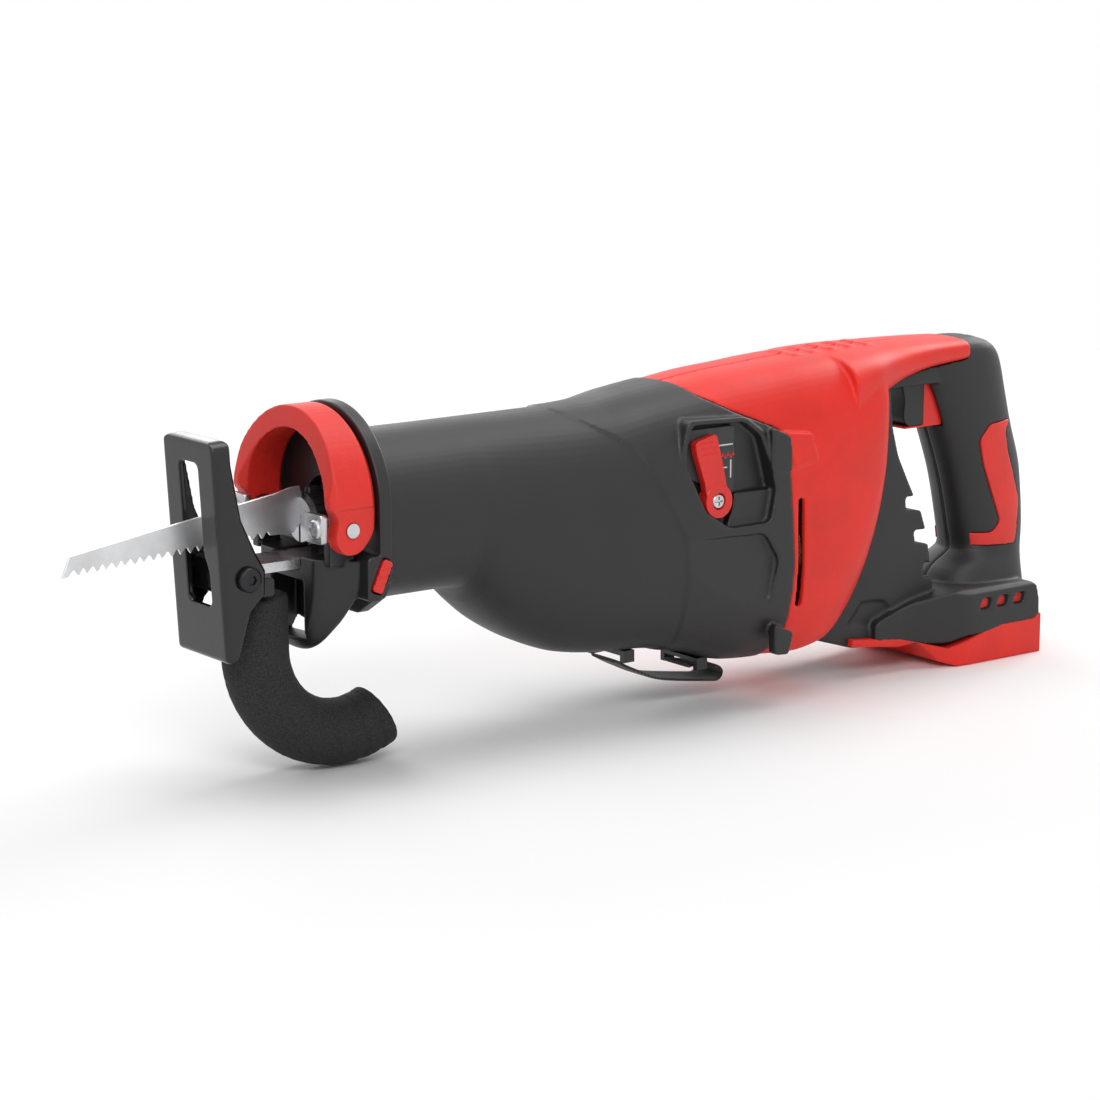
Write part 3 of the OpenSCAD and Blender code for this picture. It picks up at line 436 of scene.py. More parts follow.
def ranged(tree, value, low, high, to_low, to_high):
    node = tree.nodes.new("ShaderNodeMapRange")
    tree.links.new(value, node.inputs["Value"])
    for label, number in (
        ("From Min", low),
        ("From Max", high),
        ("To Min", to_low),
        ("To Max", to_high),
    ):
        if isinstance(number, bpy.types.NodeSocket):
            tree.links.new(number, node.inputs[label])
        else:
            node.inputs[label].default_value = number
    return node.outputs["Result"]


def noise_of(tree, vector, scale, detail=3.0, rough=0.5):
    node = tree.nodes.new("ShaderNodeTexNoise")
    tree.links.new(vector, node.inputs["Vector"])
    if isinstance(scale, bpy.types.NodeSocket):
        tree.links.new(scale, node.inputs["Scale"])
    else:
        node.inputs["Scale"].default_value = scale
    node.inputs["Detail"].default_value = detail
    node.inputs["Roughness"].default_value = rough
    return node.outputs["Fac"]


# Moulded grain: fine pits from the tool's eroded face, and slow patches
grain, start, end = group_tree(
    "mould_grain",
    [("Grain per metre", 1400), ("Patch per metre", 45)],
    ["Height", "Patches", "Dust"],
)
where = grain.nodes.new("ShaderNodeTexCoord").outputs["Object"]
pits = noise_of(grain, where, start.outputs["Grain per metre"], 2, 0.6)
patches = noise_of(grain, where, start.outputs["Patch per metre"], 4, 0.55)
specks = noise_of(grain, where, 620, 6, 0.7)
grain.links.new(pits, end.inputs["Height"])
grain.links.new(patches, end.inputs["Patches"])
grain.links.new(ranged(grain, specks, 0.6, 0.75, 0, 1), end.inputs["Dust"])

# Edge wear: the outer edges of a moulding are rubbed lighter and smoother
wear, start, end = group_tree("edge_wear", [("From", 0.52), ("To", 0.62)], ["Edge"])
form = wear.nodes.new("ShaderNodeNewGeometry").outputs["Pointiness"]
where = wear.nodes.new("ShaderNodeTexCoord").outputs["Object"]
broken = noise_of(wear, where, 240, 5, 0.6)
edge = ranged(
    wear, form, start.outputs["From"], start.outputs["To"], 0, 1
)
wear.links.new(
    maths(wear, "MULTIPLY", edge, ranged(wear, broken, 0.35, 0.65, 0.4, 1)),
    end.inputs["Edge"],
)


def add_group(tree, group, **values):
    node = tree.nodes.new("ShaderNodeGroup")
    node.node_tree = group
    for label, value in values.items():
        node.inputs[label.replace("_", " ")].default_value = value
    return node


def mixed(tree, factor, first, second):
    """A colour between two, by a factor that changes over the surface."""
    node = tree.nodes.new("ShaderNodeMix")
    node.data_type = "RGBA"
    tree.links.new(factor, node.inputs["Factor"])
    for socket, colour in ((node.inputs["A"], first), (node.inputs["B"], second)):
        if isinstance(colour, bpy.types.NodeSocket):
            tree.links.new(colour, socket)
        else:
            socket.default_value = (*colour, 1)
    return node.outputs["Result"]


def bumped(tree, height, distance, strength=1.0):
    node = tree.nodes.new("ShaderNodeBump")
    node.inputs["Strength"].default_value = strength
    node.inputs["Distance"].default_value = distance * MM
    tree.links.new(height, node.inputs["Height"])
    return node.outputs["Normal"]


def moulded_finish(name, colour, worn, rough, grain_size, depth, **sockets):
    """A moulded plastic or rubber: eroded grain, slow patches and rubbed edges."""
    finish = bpy.data.materials.new(name)
    finish.use_nodes = True
    tree = finish.node_tree
    surface = tree.nodes["Principled BSDF"]
    pattern = add_group(tree, grain, Grain_per_metre=1 / (grain_size * MM))
    rubbed = add_group(tree, wear)
    shade = mixed(
        tree,
        ranged(tree, pattern.outputs["Patches"], 0.3, 0.7, 0, 1),
        tuple(c * 0.9 for c in colour),
        tuple(min(c * 1.08, 1) for c in colour),
    )
    shade = mixed(
        tree, maths(tree, "MULTIPLY", rubbed.outputs["Edge"], 0.55), shade, worn
    )
    tree.links.new(shade, surface.inputs["Base Color"])
    roughness = ranged(
        tree, pattern.outputs["Patches"], 0.25, 0.75, rough - 0.05, rough + 0.06
    )
    roughness = maths(
        tree, "SUBTRACT", roughness, maths(tree, "MULTIPLY", rubbed.outputs["Edge"], 0.08)
    )
    tree.links.new(roughness, surface.inputs["Roughness"])
    tree.links.new(
        bumped(tree, pattern.outputs["Height"], depth), surface.inputs["Normal"]
    )
    for label, value in sockets.items():
        surface.inputs[label.replace("_", " ")].default_value = value
    return finish


def finished(piece, finish, body):
    """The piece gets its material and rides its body."""
    piece.data.materials.clear()
    piece.data.materials.append(finish)
    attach(piece, body)
    return piece


soft_black = moulded_finish(
    "soft_black", (0.011, 0.011, 0.012), (0.035, 0.035, 0.038), 0.44, 0.55, 0.02
)

# Side view of the joint with the red housing, from the roof to the floor
JOINT = [
    (SPLIT_X - 49, AXIS_Z + 60),
    (SPLIT_X - 46, AXIS_Z + 37.5),
    (SPLIT_X - 30, AXIS_Z + 29),
    (SPLIT_X - 8, AXIS_Z + 20),
    (SPLIT_X - 3, AXIS_Z - 2),
    (SPLIT_X, AXIS_Z - 40),
    (SPLIT_X - 1, AXIS_Z - 69),
    (SPLIT_X - 5, AXIS_Z - 84),
    (SPLIT_X - 5, AXIS_Z - 110),
]
JOINT_GAP = 0.25
LEVER_X, LEVER_Z = (
    sum(corner.x for corner in in_mm("stroke_lever_screw")) / 2,
    sum(corner.z for corner in in_mm("stroke_lever_screw")) / 2,
)


def front_of_joint(gap):
    front = [(COLLAR_X - 40, AXIS_Z - 110), (COLLAR_X - 40, AXIS_Z + 60)]
    return prism(
        "front_of_joint", [(x - gap, z) for x, z in JOINT] + front, -60, 60, "Y", 3
    )


cover = body_loft("gear_cover_shell", BODY, rings=90)
combine(cover, front_of_joint(JOINT_GAP), "INTERSECT")
hollow_rows = [(COLLAR_X - 3, *BODY[0][1:])] + BODY
cut(cover, body_loft("cover_hollow", hollow_rows, WALL, rings=60, points=48))

# Behind a crease the side stands a little proud of the barrel
crease = [
    (SPLIT_X + 20, AXIS_Z + 70),
    (GEAR_X - 18, AXIS_Z + 52),
    (GEAR_X - 14, AXIS_Z + 40),
    (GEAR_X + 19.5, AXIS_Z + 18.5),
    (GEAR_X + 31, AXIS_Z - 4),
    (GEAR_X + 42, AXIS_Z - 23),
    (GEAR_X + 44, AXIS_Z - 60),
    (GEAR_X + 52, AXIS_Z - 110),
    (SPLIT_X + 20, AXIS_Z - 110),
]
proud = body_loft("proud_side", BODY, -0.7, rings=90)
combine(proud, front_of_joint(JOINT_GAP), "INTERSECT")
combine(proud, prism("behind_crease", crease, -60, 60, "Y", 3), "INTERSECT")
cut(proud, body_loft("proud_inside", BODY, 1, rings=90))
join(cover, proud)

pocket_outline = [
    (LEVER_X - 14.5, LEVER_Z + 34.5),
    (LEVER_X + 15, LEVER_Z + 33.5),
    (LEVER_X + 25, LEVER_Z + 26),
    (LEVER_X + 32, LEVER_Z + 2),
    (LEVER_X + 29, LEVER_Z - 12.5),
    (LEVER_X + 6, LEVER_Z - 12.5),
    (LEVER_X - 8, LEVER_Z - 4),
    (LEVER_X - 17.5, LEVER_Z + 16),
    (LEVER_X - 17.5, LEVER_Z + 24),
]
POCKET_FLOOR = SIDE + 7.2
middle_x, middle_z = LEVER_X + 6, LEVER_Z + 11
lined = [
    (middle_x + (x - middle_x) * 1.1, middle_z + (z - middle_z) * 1.1)
    for x, z in pocket_outline
]
liner = prism("pocket_liner", lined, SIDE + 1.5, POCKET_FLOOR + 1.4, "Y", 2.5)
join(cover, liner)
cut(cover, prism("lever_pocket", pocket_outline, SIDE - 3, POCKET_FLOOR, "Y", 2.5))
cut(cover, rod("shaft_hole", 5, SIDE - 3, SIDE + 20, (LEVER_X, LEVER_Z)))
# A ledge in the pocket's lower rear corner
join(
    cover,
    prism(
        "pocket_ledge",
        [
            (LEVER_X + 11, LEVER_Z + 2),
            (LEVER_X + 33, LEVER_Z + 2),
            (LEVER_X + 31, LEVER_Z - 14),
            (LEVER_X + 6, LEVER_Z - 14),
            (LEVER_X + 9.5, LEVER_Z - 6),
        ],
        SIDE + 3.2,
        POCKET_FLOOR + 1,
        "Y",
        1,
    ),
)
panel = prism(
    "lower_panel",
    [
        (LEVER_X - 20, LEVER_Z - 15),
        (LEVER_X + 26, LEVER_Z - 17),
        (LEVER_X + 34.5, LEVER_Z - 30),
        (LEVER_X + 30, LEVER_Z - 48.5),
        (LEVER_X - 17, LEVER_Z - 47),
    ],
    SIDE - 3,
    SIDE + 8,
    "Y",
    3,
)
# The panel is deepest at its rear edge and fades out towards the barrel
slope = [
    (LEVER_X - 24, SIDE - 4),
    (LEVER_X - 24, SIDE - 0.2),
    (LEVER_X + 40, SIDE + 2.6),
    (LEVER_X + 40, SIDE - 4),
]
combine(panel, prism("panel_slope", slope, 0, 200, "Z"), "INTERSECT")
cut(cover, panel)
for x, low, high, lean in (
    (SPLIT_X - 15, AXIS_Z + 2, AXIS_Z + 20, 0),
    (SPLIT_X - 12, AXIS_Z - 81, AXIS_Z - 69, -4),
):
    # Tabs that lap over the red housing
    tab = [(x, low), (x + 12 + lean, low - 1), (x + 11, high - 3), (x, high + 2)]
    join(cover, prism("lap_tab", tab, SIDE - 1.1, SIDE + 4, "Y", 1.6))
softened(cover, 0.75, 2, 0.33)
finished(cover, soft_black, "housing")
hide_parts("gear_cover")

# ---- motor housing ----
# Two red moulded halves hold the motor. Each has a tall air slot, and the top
# runs back as a bridge to the grip. Screws from the right side join them.

housing_red = moulded_finish(
    "housing_red",
    (0.78, 0.026, 0.016),
    (0.82, 0.06, 0.045),
    0.44,
    0.5,
    0.022,
    Specular_IOR_Level=0.35,
)

BRIDGE = [
    (REAR_X - 26, AXIS_Z + 47, AXIS_Z + 12, 37, 3),
    (REAR_X - 8, AXIS_Z + 47.8, AXIS_Z + 20, 33, 3),
    (REAR_X + 4, AXIS_Z + 48, AXIS_Z + 26, 28.5, 3),
    (REAR_X + 20, AXIS_Z + 48, AXIS_Z + 31, 24, 3),
    (REAR_X + 40, AXIS_Z + 47.8, AXIS_Z + 34.5, 20.5, 3),
    (REAR_X + 63, AXIS_Z + 47, AXIS_Z + 36, 17.5, 3.2),
]
SCREWS = [
    (REAR_X - 30, AXIS_Z + 36),
    (REAR_X - 44, AXIS_Z - 82),
    (REAR_X + 76, AXIS_Z - 62),
    (REAR_X + 23, AXIS_Z - 66),
    (REAR_X + 70, AXIS_Z + 38),
]
SHAFT_R, HEAD_R, HEAD_Y = 2.3, 4.5, 12


def screw_holes(piece):
    """The stepped holes for the screws that join the two halves."""
    for x, z in SCREWS:
        cut(piece, rod("screw_hole", SHAFT_R, -14, 70, (x, z), "Y", 24))
        cut(piece, rod("head_hole", HEAD_R, HEAD_Y, 70, (x, z), "Y", 32))
    return piece


def one_half(piece, side, gap=0.12):
    """One half of a split moulding, cut along the middle."""
    reach = 60
    low, high = (-reach, -gap) if side < 0 else (gap, reach)
    return combine(
        piece, block("side", (-200, low, -10), (300, high, 200)), "INTERSECT"
    )


# Side view of the black web behind the motor, with three notches in its edge
WEB = [
    (REAR_X - 36, 22),
    (REAR_X - 10, 14),
    (REAR_X + 26, 12),
    (REAR_X + 42, 30),
    (REAR_X + 39, AXIS_Z - 57),
    (REAR_X + 36, AXIS_Z - 42),
    (REAR_X + 32, AXIS_Z - 31),
    (REAR_X + 26.5, AXIS_Z - 22),
    (REAR_X + 17, AXIS_Z - 4),
    (REAR_X + 13, AXIS_Z + 10),
    (REAR_X + 11, AXIS_Z + 31),
    (REAR_X - 6, AXIS_Z + 33),
    (REAR_X - 6, AXIS_Z - 8),
    (REAR_X - 10, AXIS_Z - 48),
    (REAR_X - 16, AXIS_Z - 64),
    (REAR_X - 26, AXIS_Z - 76),
]
WEB_HALF = 19

housing = body_loft("motor_housing", BODY, rings=90)
cut(housing, front_of_joint(-JOINT_GAP))
join(housing, body_loft("bridge", BRIDGE, rings=24, points=48))
cut(housing, body_loft("motor_hollow", BODY[:-1], WALL, rings=60, points=48))
cut(housing, prism("web_seat", WEB, -WEB_HALF - 0.3, WEB_HALF + 0.3))
for side in (-1, 1):
    # A raised pad beside the lever and a tall air slot
    y_out, y_in = side * (COVER_HALF + 0.9), side * (COVER_HALF - 6)
    pad = [
        (SPLIT_X - 7, AXIS_Z + 19),
        (SPLIT_X + 9, AXIS_Z + 17),
        (SPLIT_X + 13, AXIS_Z + 5),
        (SPLIT_X - 1, AXIS_Z + 2),
    ]
    join(housing, prism("raised_pad", pad, min(y_out, y_in), max(y_out, y_in), "Y", 1))
    slot_low, slot_high = sorted((side * 20, side * 60))
    slot = [
        (SPLIT_X + 2.6, AXIS_Z - 61),
        (SPLIT_X + 6.6, AXIS_Z - 62),
        (SPLIT_X + 5.6, AXIS_Z - 12),
        (SPLIT_X + 2, AXIS_Z - 11.5),
    ]
    cut(housing, prism("air_slot", slot, slot_low, slot_high, "Y", 1.2))
for k in range(5):
    # Low ribs across the top of the bridge
    x = SPLIT_X + 24 + 11 * k
    top = row_at(BODY, x)[0]
    rib = [(x, top - 3), (x + 6, top - 3), (x + 5, top + 0.9), (x + 1.5, top + 0.9)]
    join(housing, prism("top_rib", rib, -9, 9, "Y", 0.6))
screw_holes(housing)
for side, label in ((-1, "left"), (1, "right")):
    half = one_half(copy_of(housing, f"motor_housing_{label}_shell"), side)
    softened(half, 0.75, 3, 0.5)
    finished(half, housing_red, "housing")
    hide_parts(f"motor_housing_{label}")
bpy.data.objects.remove(housing)

# ---- handle ----
# Two black moulded halves make the web behind the motor, the grip and the
# block over the foot. Red bands are let into the grip's sides.

handle_black = moulded_finish(
    "handle_black", (0.011, 0.011, 0.012), (0.035, 0.035, 0.038), 0.5, 0.6, 0.03
)
GRIP_X = REAR_X + 84
GRIP_W = in_mm("handle_shell_right")[1].y
GRIP_HALF = 18
FOOT_LOW, FOOT_HIGH = in_mm("battery_foot")
FOOT_FRONT, FOOT_REAR = REAR_X + 43, FOOT_HIGH.x
FOOT_HALF = FOOT_HIGH.y
FOOT_TOP = 20

# Sections of the grip: height, front, rear, half width, squareness
GRIP = [
    (AXIS_Z - 74, REAR_X + 50, GRIP_X + 21, 25, 3.2),
    (AXIS_Z - 64, REAR_X + 57, GRIP_X + 23, 21, 2.8),
    (AXIS_Z - 56, GRIP_X - 15, GRIP_X + 25, GRIP_HALF, 2.4),
    (AXIS_Z - 46, GRIP_X - 17, GRIP_X + 26, GRIP_HALF, 2.3),
    (AXIS_Z - 20, GRIP_X - 23.5, GRIP_X + 24, GRIP_HALF, 2.3),
    (AXIS_Z + 4, GRIP_X - 32.5, GRIP_X + 17, GRIP_HALF, 2.3),
    (AXIS_Z + 22, GRIP_X - 40, GRIP_X + 12, GRIP_HALF, 2.4),
    (AXIS_Z + 36, GRIP_X - 47, GRIP_X + 8, GRIP_HALF - 1, 2.6),
    (AXIS_Z + 43, GRIP_X - 38, GRIP_X + 2, GRIP_HALF - 3, 2.7),
    (AXIS_Z + 46.5, GRIP_X - 28, GRIP_X - 8, GRIP_HALF - 9, 2.6),
]


def grip_loft(name, grow=0, rings=50, points=56):
    """The grip's smooth body, from the foot block up to the bridge."""
    first, last = GRIP[0][0], GRIP[-1][0]

    def place(ring, angle):
        z = first + (last - first) * ring / (rings - 1)
        front, rear, half, square = row_at(GRIP, z)
        return (
            (front + rear) / 2
            + ((rear - front) / 2 + grow) * power(math.cos(angle), square),
            (half + grow) * power(math.sin(angle), square),
            z,
        )

    return drawn_out(name, rings, points, place)


handle = grip_loft("handle")
web = prism("web", WEB, -WEB_HALF, WEB_HALF, "Y", 2)
for k in range(3):
    # Open notches step down the rear edge of the web
    x, z = REAR_X + 22 + 6 * k, AXIS_Z - 24 - 16.5 * k
    notch = [(x, z), (x + 1, z - 6.5), (x + 20, z - 8.5), (x + 20, z - 1)]
    cut(web, prism("notch", notch, -40, 40, "Y", 1.2))
hollow = [
    (REAR_X - 4, AXIS_Z - 70),
    (REAR_X + 10, AXIS_Z - 71.5),
    (REAR_X + 22, AXIS_Z - 88),
    (REAR_X - 14, AXIS_Z - 81),
]
for low, high in ((-40, -17.8), (17.8, 40)):
    cut(web, prism("web_recess", hollow, low, high, "Y", 1.5))
join(handle, web)
block_side = [
    (FOOT_FRONT - 42, 14),
    (FOOT_FRONT - 2, 11),
    (FOOT_FRONT + 8, FOOT_TOP - 6),
    (FOOT_REAR - 1, FOOT_TOP - 6),
    (FOOT_REAR - 1.5, FOOT_TOP + 6),
    (FOOT_REAR - 4, FOOT_TOP + 15),
    (FOOT_FRONT + 4, FOOT_TOP + 16),
    (FOOT_FRONT - 20, FOOT_TOP + 12),
    (FOOT_FRONT - 42, FOOT_TOP + 5),
]
foot_block = prism("foot_block", block_side, -FOOT_HALF, FOOT_HALF, "Y", 3)
# Its plan narrows towards the web in front
plan = [
    (FOOT_FRONT - 44, -23),
    (FOOT_FRONT - 22, -24),
    (FOOT_FRONT + 8, -FOOT_HALF),
    (FOOT_REAR + 2, -FOOT_HALF),
    (FOOT_REAR + 2, FOOT_HALF),
    (FOOT_FRONT + 8, FOOT_HALF),
    (FOOT_FRONT - 22, 24),
    (FOOT_FRONT - 44, 23),
]
combine(foot_block, prism("foot_plan", plan, 0, 60, "Z", 4), "INTERSECT")
for side in (-1, 1):
    # The block's top falls away to the sides in a hollow curve
    sweep = [
        (side * (FOOT_HALF + 6), FOOT_TOP + 9),
        (side * (FOOT_HALF - 5), FOOT_TOP + 17),
        (side * (FOOT_HALF - 8), FOOT_TOP + 26),
        (side * (FOOT_HALF + 6), FOOT_TOP + 30),
    ]
    cut(foot_block, prism("fall", sweep, FOOT_FRONT - 60, FOOT_REAR + 10, "X", 2))
join(handle, foot_block)
join(
    handle,
    block(
        "bridge_bar",
        (REAR_X + 8, -14, AXIS_Z + 27),
        (GRIP_X - 16, 14, AXIS_Z + 40),
    ),
)
cut(handle, body_loft("bridge_seat", BRIDGE, -0.3, rings=20, points=40))
for k in range(3):
    # Slanted windows in the sides of the block
    x, z = FOOT_FRONT + 17.5 + 11 * k, FOOT_TOP + 10.5
    window = [(x, z), (x + 6.5, z + 0.5), (x + 5, z - 5), (x - 2, z - 5)]
    for low, high in ((-50, -FOOT_HALF + 3), (FOOT_HALF - 3, 50)):
        cut(handle, prism("window", window, low, high, "Y", 0.9))
TRIGGER_LOW, TRIGGER_HIGH = in_mm("trigger_front")
cut(
    handle,
    block(
        "trigger_well",
        (TRIGGER_LOW.x - 4, TRIGGER_LOW.y - 0.6, TRIGGER_LOW.z - 0.6),
        (TRIGGER_LOW.x + 34, TRIGGER_HIGH.y + 0.6, TRIGGER_HIGH.z + 0.6),
    ),
)
screw_holes(handle)
for side, label in ((-1, "left"), (1, "right")):
    # Red ribs of the foot show at the bottom of the windows
    low, high = sorted((side * (FOOT_HALF - 3.6), side * (FOOT_HALF - 2.4)))
    insert = block(
        f"window_rib_{label}",
        (FOOT_FRONT + 14, low, FOOT_TOP + 4),
        (FOOT_FRONT + 50, high, FOOT_TOP + 12),
        0.5,
    )
    crisp(insert, 0.2, 2)
    finished(insert, housing_red, "housing")

BAND = [
    (GRIP_X - 26, AXIS_Z - 53.5),
    (GRIP_X + 12, AXIS_Z - 54.5),
    (GRIP_X + 15, AXIS_Z - 34),
    (GRIP_X + 5.5, AXIS_Z - 9),
    (GRIP_X + 4, AXIS_Z + 1),
    (GRIP_X + 9, AXIS_Z + 6),
    (GRIP_X - 7, AXIS_Z + 5),
    (GRIP_X - 13, AXIS_Z - 2),
    (GRIP_X - 10, AXIS_Z - 14),
    (GRIP_X + 1.5, AXIS_Z - 43),
    (GRIP_X - 3, AXIS_Z - 48),
    (GRIP_X - 26, AXIS_Z - 48),
]
band_red = moulded_finish(
    "band_red", (0.76, 0.026, 0.016), (0.8, 0.07, 0.05), 0.46, 0.5, 0.02
)
for side, label in ((-1, "left"), (1, "right")):
    low, high = sorted((side * 11.5, side * 60))
    seat = grip_loft("band_seat", 0.5)
    combine(seat, prism("band_outline", BAND, low, high, "Y", 2), "INTERSECT")
    cut(seat, grip_loft("band_inside", -1.8))
    band = copy_of(seat, f"grip_band_{label}")
    band.data.name = band.name
    cut(handle, seat)
    softened(band, 0.45, 2, 0.6)
    finished(band, band_red, "housing")
    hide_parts(f"grip_inlay_{label}")
for side, label in ((-1, "left"), (1, "right")):
    half = one_half(copy_of(handle, f"handle_{label}_shell"), side)
    softened(half, 0.8, 3, 0.5)
    finished(half, handle_black, "housing")
    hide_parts(f"handle_shell_{label}")
bpy.data.objects.remove(handle)

# ---- battery foot ----
# A red moulded foot stands under the handle. Two rails inside it take a
# battery pack slid on from the rear, round the contacts.

foot_side = [
    (FOOT_FRONT - 56, 15.5),
    (FOOT_FRONT - 28, 12),
    (FOOT_FRONT - 18, 13),
    (FOOT_FRONT - 7, 3),
    (FOOT_FRONT + 2, 0),
    (FOOT_REAR, 0),
    (FOOT_REAR, FOOT_TOP - 1),
    (FOOT_FRONT + 30, FOOT_TOP - 2),
    (FOOT_FRONT - 2, 9),
    (FOOT_FRONT - 28, 16),
    (FOOT_FRONT - 56, 19),
]
foot = prism("battery_foot_shell", foot_side, -FOOT_HALF, FOOT_HALF)
plan = [
    (FOOT_FRONT - 60, -22),
    (FOOT_FRONT - 22, -24.5),
    (FOOT_FRONT + 4, -FOOT_HALF),
    (FOOT_REAR + 4, -FOOT_HALF),
    (FOOT_REAR + 4, FOOT_HALF),
    (FOOT_FRONT + 4, FOOT_HALF),
    (FOOT_FRONT - 22, 24.5),
    (FOOT_FRONT - 60, 22),
]
combine(foot, prism("foot_plan", plan, -5, 60, "Z", 3), "INTERSECT")
RAIL = FOOT_HALF - 9
cut(foot, block("pack_bay", (FOOT_FRONT + 6, -RAIL, -3), (FOOT_REAR + 3, RAIL, 13)))
for side in (-1, 1):
    low, high = sorted((side * (RAIL - 1), side * (RAIL + 4)))
    cut(foot, block("rail_groove", (FOOT_FRONT + 10, low, 5), (FOOT_REAR + 3, high, 9)))
softened(foot, 0.6, 3, 0.5)
finished(foot, housing_red, "housing")
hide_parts("battery_foot")

# ---- front collar ----
# A black moulded collar closes the front of the case. Its arch-shaped flange
# backs the bow, its chin carries the shoe bar, and ears hold the bow's pins.

NOSE_LOW, NOSE_HIGH = in_mm("nose_collar")
FLANGE_X = COLLAR_X - 6
FLANGE_R = 40
ARCH_Z = NOSE_HIGH.z - FLANGE_R
NOSE_FRONT = COLLAR_X - 25.5
CHIN_LOW = AXIS_Z - 53.5
CHIN_TOP = AXIS_Z - 13
trim_black = moulded_finish(
    "trim_black", (0.010, 0.010, 0.011), (0.035, 0.035, 0.038), 0.4, 0.45, 0.015
)


def arch_outline(radius, low, steps=40):
    """A round-topped arch seen from the front, as (Y, Z) points."""
    top = [
        (
            radius * math.cos(math.pi * k / steps),
            ARCH_Z + radius * math.sin(math.pi * k / steps),
        )
        for k in range(steps + 1)
    ]
    return top + [(-radius, low), (radius, low)]


collar = prism(
    "front_collar", arch_outline(FLANGE_R, AXIS_Z - 22), FLANGE_X, COLLAR_X, "X"
)
skirt = [
    (-FLANGE_R, AXIS_Z - 20),
    (-35, AXIS_Z - 29),
    (-22, AXIS_Z - 37),
    (22, AXIS_Z - 37),
    (35, AXIS_Z - 29),
    (FLANGE_R, AXIS_Z - 20),
]
join(collar, prism("skirt", skirt, FLANGE_X, COLLAR_X, "X"))
# The chin narrows and deepens forward of the flange: place, depth, half width
chin_rows = []
for x, low, half_width in (
    (NOSE_FRONT, CHIN_LOW + 5, 20),
    (NOSE_FRONT + 2.5, CHIN_LOW + 1, 23),
    (NOSE_FRONT + 5, CHIN_LOW, 25.5),
    (NOSE_FRONT + 11, CHIN_LOW + 6.5, 31),
    (FLANGE_X - 3, AXIS_Z - 33, 36.5),
    (FLANGE_X + 2, AXIS_Z - 28, 38.5),
):
    chin_rows.append((x, 2 * CHIN_TOP - low, low, half_width, 2.5))
chin = body_loft("chin", chin_rows, rings=24, points=64)
cut(chin, block("chin_top", (NOSE_FRONT - 9, -60, CHIN_TOP), (COLLAR_X, 60, 200)))
join(collar, chin)
BOW_HALF, BOW_WALL = in_mm("release_bow")[1].y, 9
PIN_LOW, PIN_HIGH = in_mm("bow_pivot_pins")
PIN_X, PIN_Z = (PIN_LOW.x + PIN_HIGH.x) / 2, (PIN_LOW.z + PIN_HIGH.z) / 2
for side in (-1, 1):
    low, high = sorted((side * 25, side * (BOW_HALF - BOW_WALL - 0.7)))
    ear = [(PIN_X - 5.5, CHIN_TOP - 2), (PIN_X + 5.5, CHIN_TOP - 2)]
    ear += [
        (
            PIN_X + 5.5 * math.cos(math.pi * k / 12),
            PIN_Z + 5.5 * math.sin(math.pi * k / 12),
        )
        for k in range(13)
    ]
    join(collar, prism("ear", ear, low, high))
BUTTON_LOW, BUTTON_HIGH = in_mm("shoe_release_button")
BUTTON_X = (BUTTON_LOW.x + BUTTON_HIGH.x) / 2
BUTTON_Z = (BUTTON_LOW.z + BUTTON_HIGH.z) / 2
join(
    collar,
    block(
        "button_boss",
        (FLANGE_X - 6, -FLANGE_R, BUTTON_Z - 10),
        (FLANGE_X + 1, -26, AXIS_Z - 10.5),
        2,
    ),
)
cut(collar, rod("clamp_bore", 17, NOSE_FRONT - 3, COLLAR_X + 1, (0, AXIS_Z), "X"))
BAR_LOW, BAR_HIGH = in_mm("shoe_bar")
cut(
    collar,
    block(
        "bar_channel",
        (NOSE_FRONT - 3, BAR_LOW.y - 0.3, BAR_LOW.z - 0.3),
        (COLLAR_X + 1, BAR_HIGH.y + 0.3, BAR_HIGH.z + 0.3),
    ),
)
# A hollow in the front of the chin saves material
cut(
    collar,
    block("chin_pocket", (NOSE_FRONT - 3, -12, CHIN_LOW + 6), (NOSE_FRONT + 12, 12, BAR_LOW.z - 5), 2),
)
BUTTON_LEAN = math.radians(25)


def leaning_button(name, length, width, low, high, round_off):
    """The slanted outline of the shoe button, as a block through the flange."""
    c, s = math.cos(BUTTON_LEAN), math.sin(BUTTON_LEAN)
    outline = []
    for u, v in ((-1, -1), (1, -1), (1, 1), (-1, 1)):
        a, b = u * width / 2, v * length / 2
        outline.append((BUTTON_X + a * c + b * s, BUTTON_Z - a * s + b * c))
    return prism(name, outline, low, high, "Y", round_off)


cut(collar, leaning_button("button_hole", 14.7, 5.9, BUTTON_LOW.y - 2, -29, 1.2))
softened(collar, 0.6, 3, 0.55)
finished(collar, trim_black, "housing")
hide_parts("nose_collar")

# ---- shoe button ----
# A red moulded button leans in the flange and frees the shoe bar.

lever_red = moulded_finish(
    "lever_red", (0.72, 0.02, 0.014), (0.8, 0.07, 0.05), 0.38, 0.4, 0.012
)
button = leaning_button("shoe_button_cap", 13.6, 4.8, BUTTON_LOW.y, BUTTON_HIGH.y, 1.2)
for k in (-1, 0, 1):
    ridge = rod(
        "ridge_cut",
        0.5,
        BUTTON_X - 6,
        BUTTON_X + 6,
        (BUTTON_LOW.y - 0.15, BUTTON_Z + 3.2 * k),
        "X",
        16,
    )
    cut(button, ridge)
softened(button, 0.25, 3, 0.8)
finished(button, lever_red, "shoe_button")
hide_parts("shoe_release_button")

# ---- release bow ----
# A red moulded bow arches over the blade clamp and swings forward on two pins.
# Its thick wall has a step along the foot of each leg.

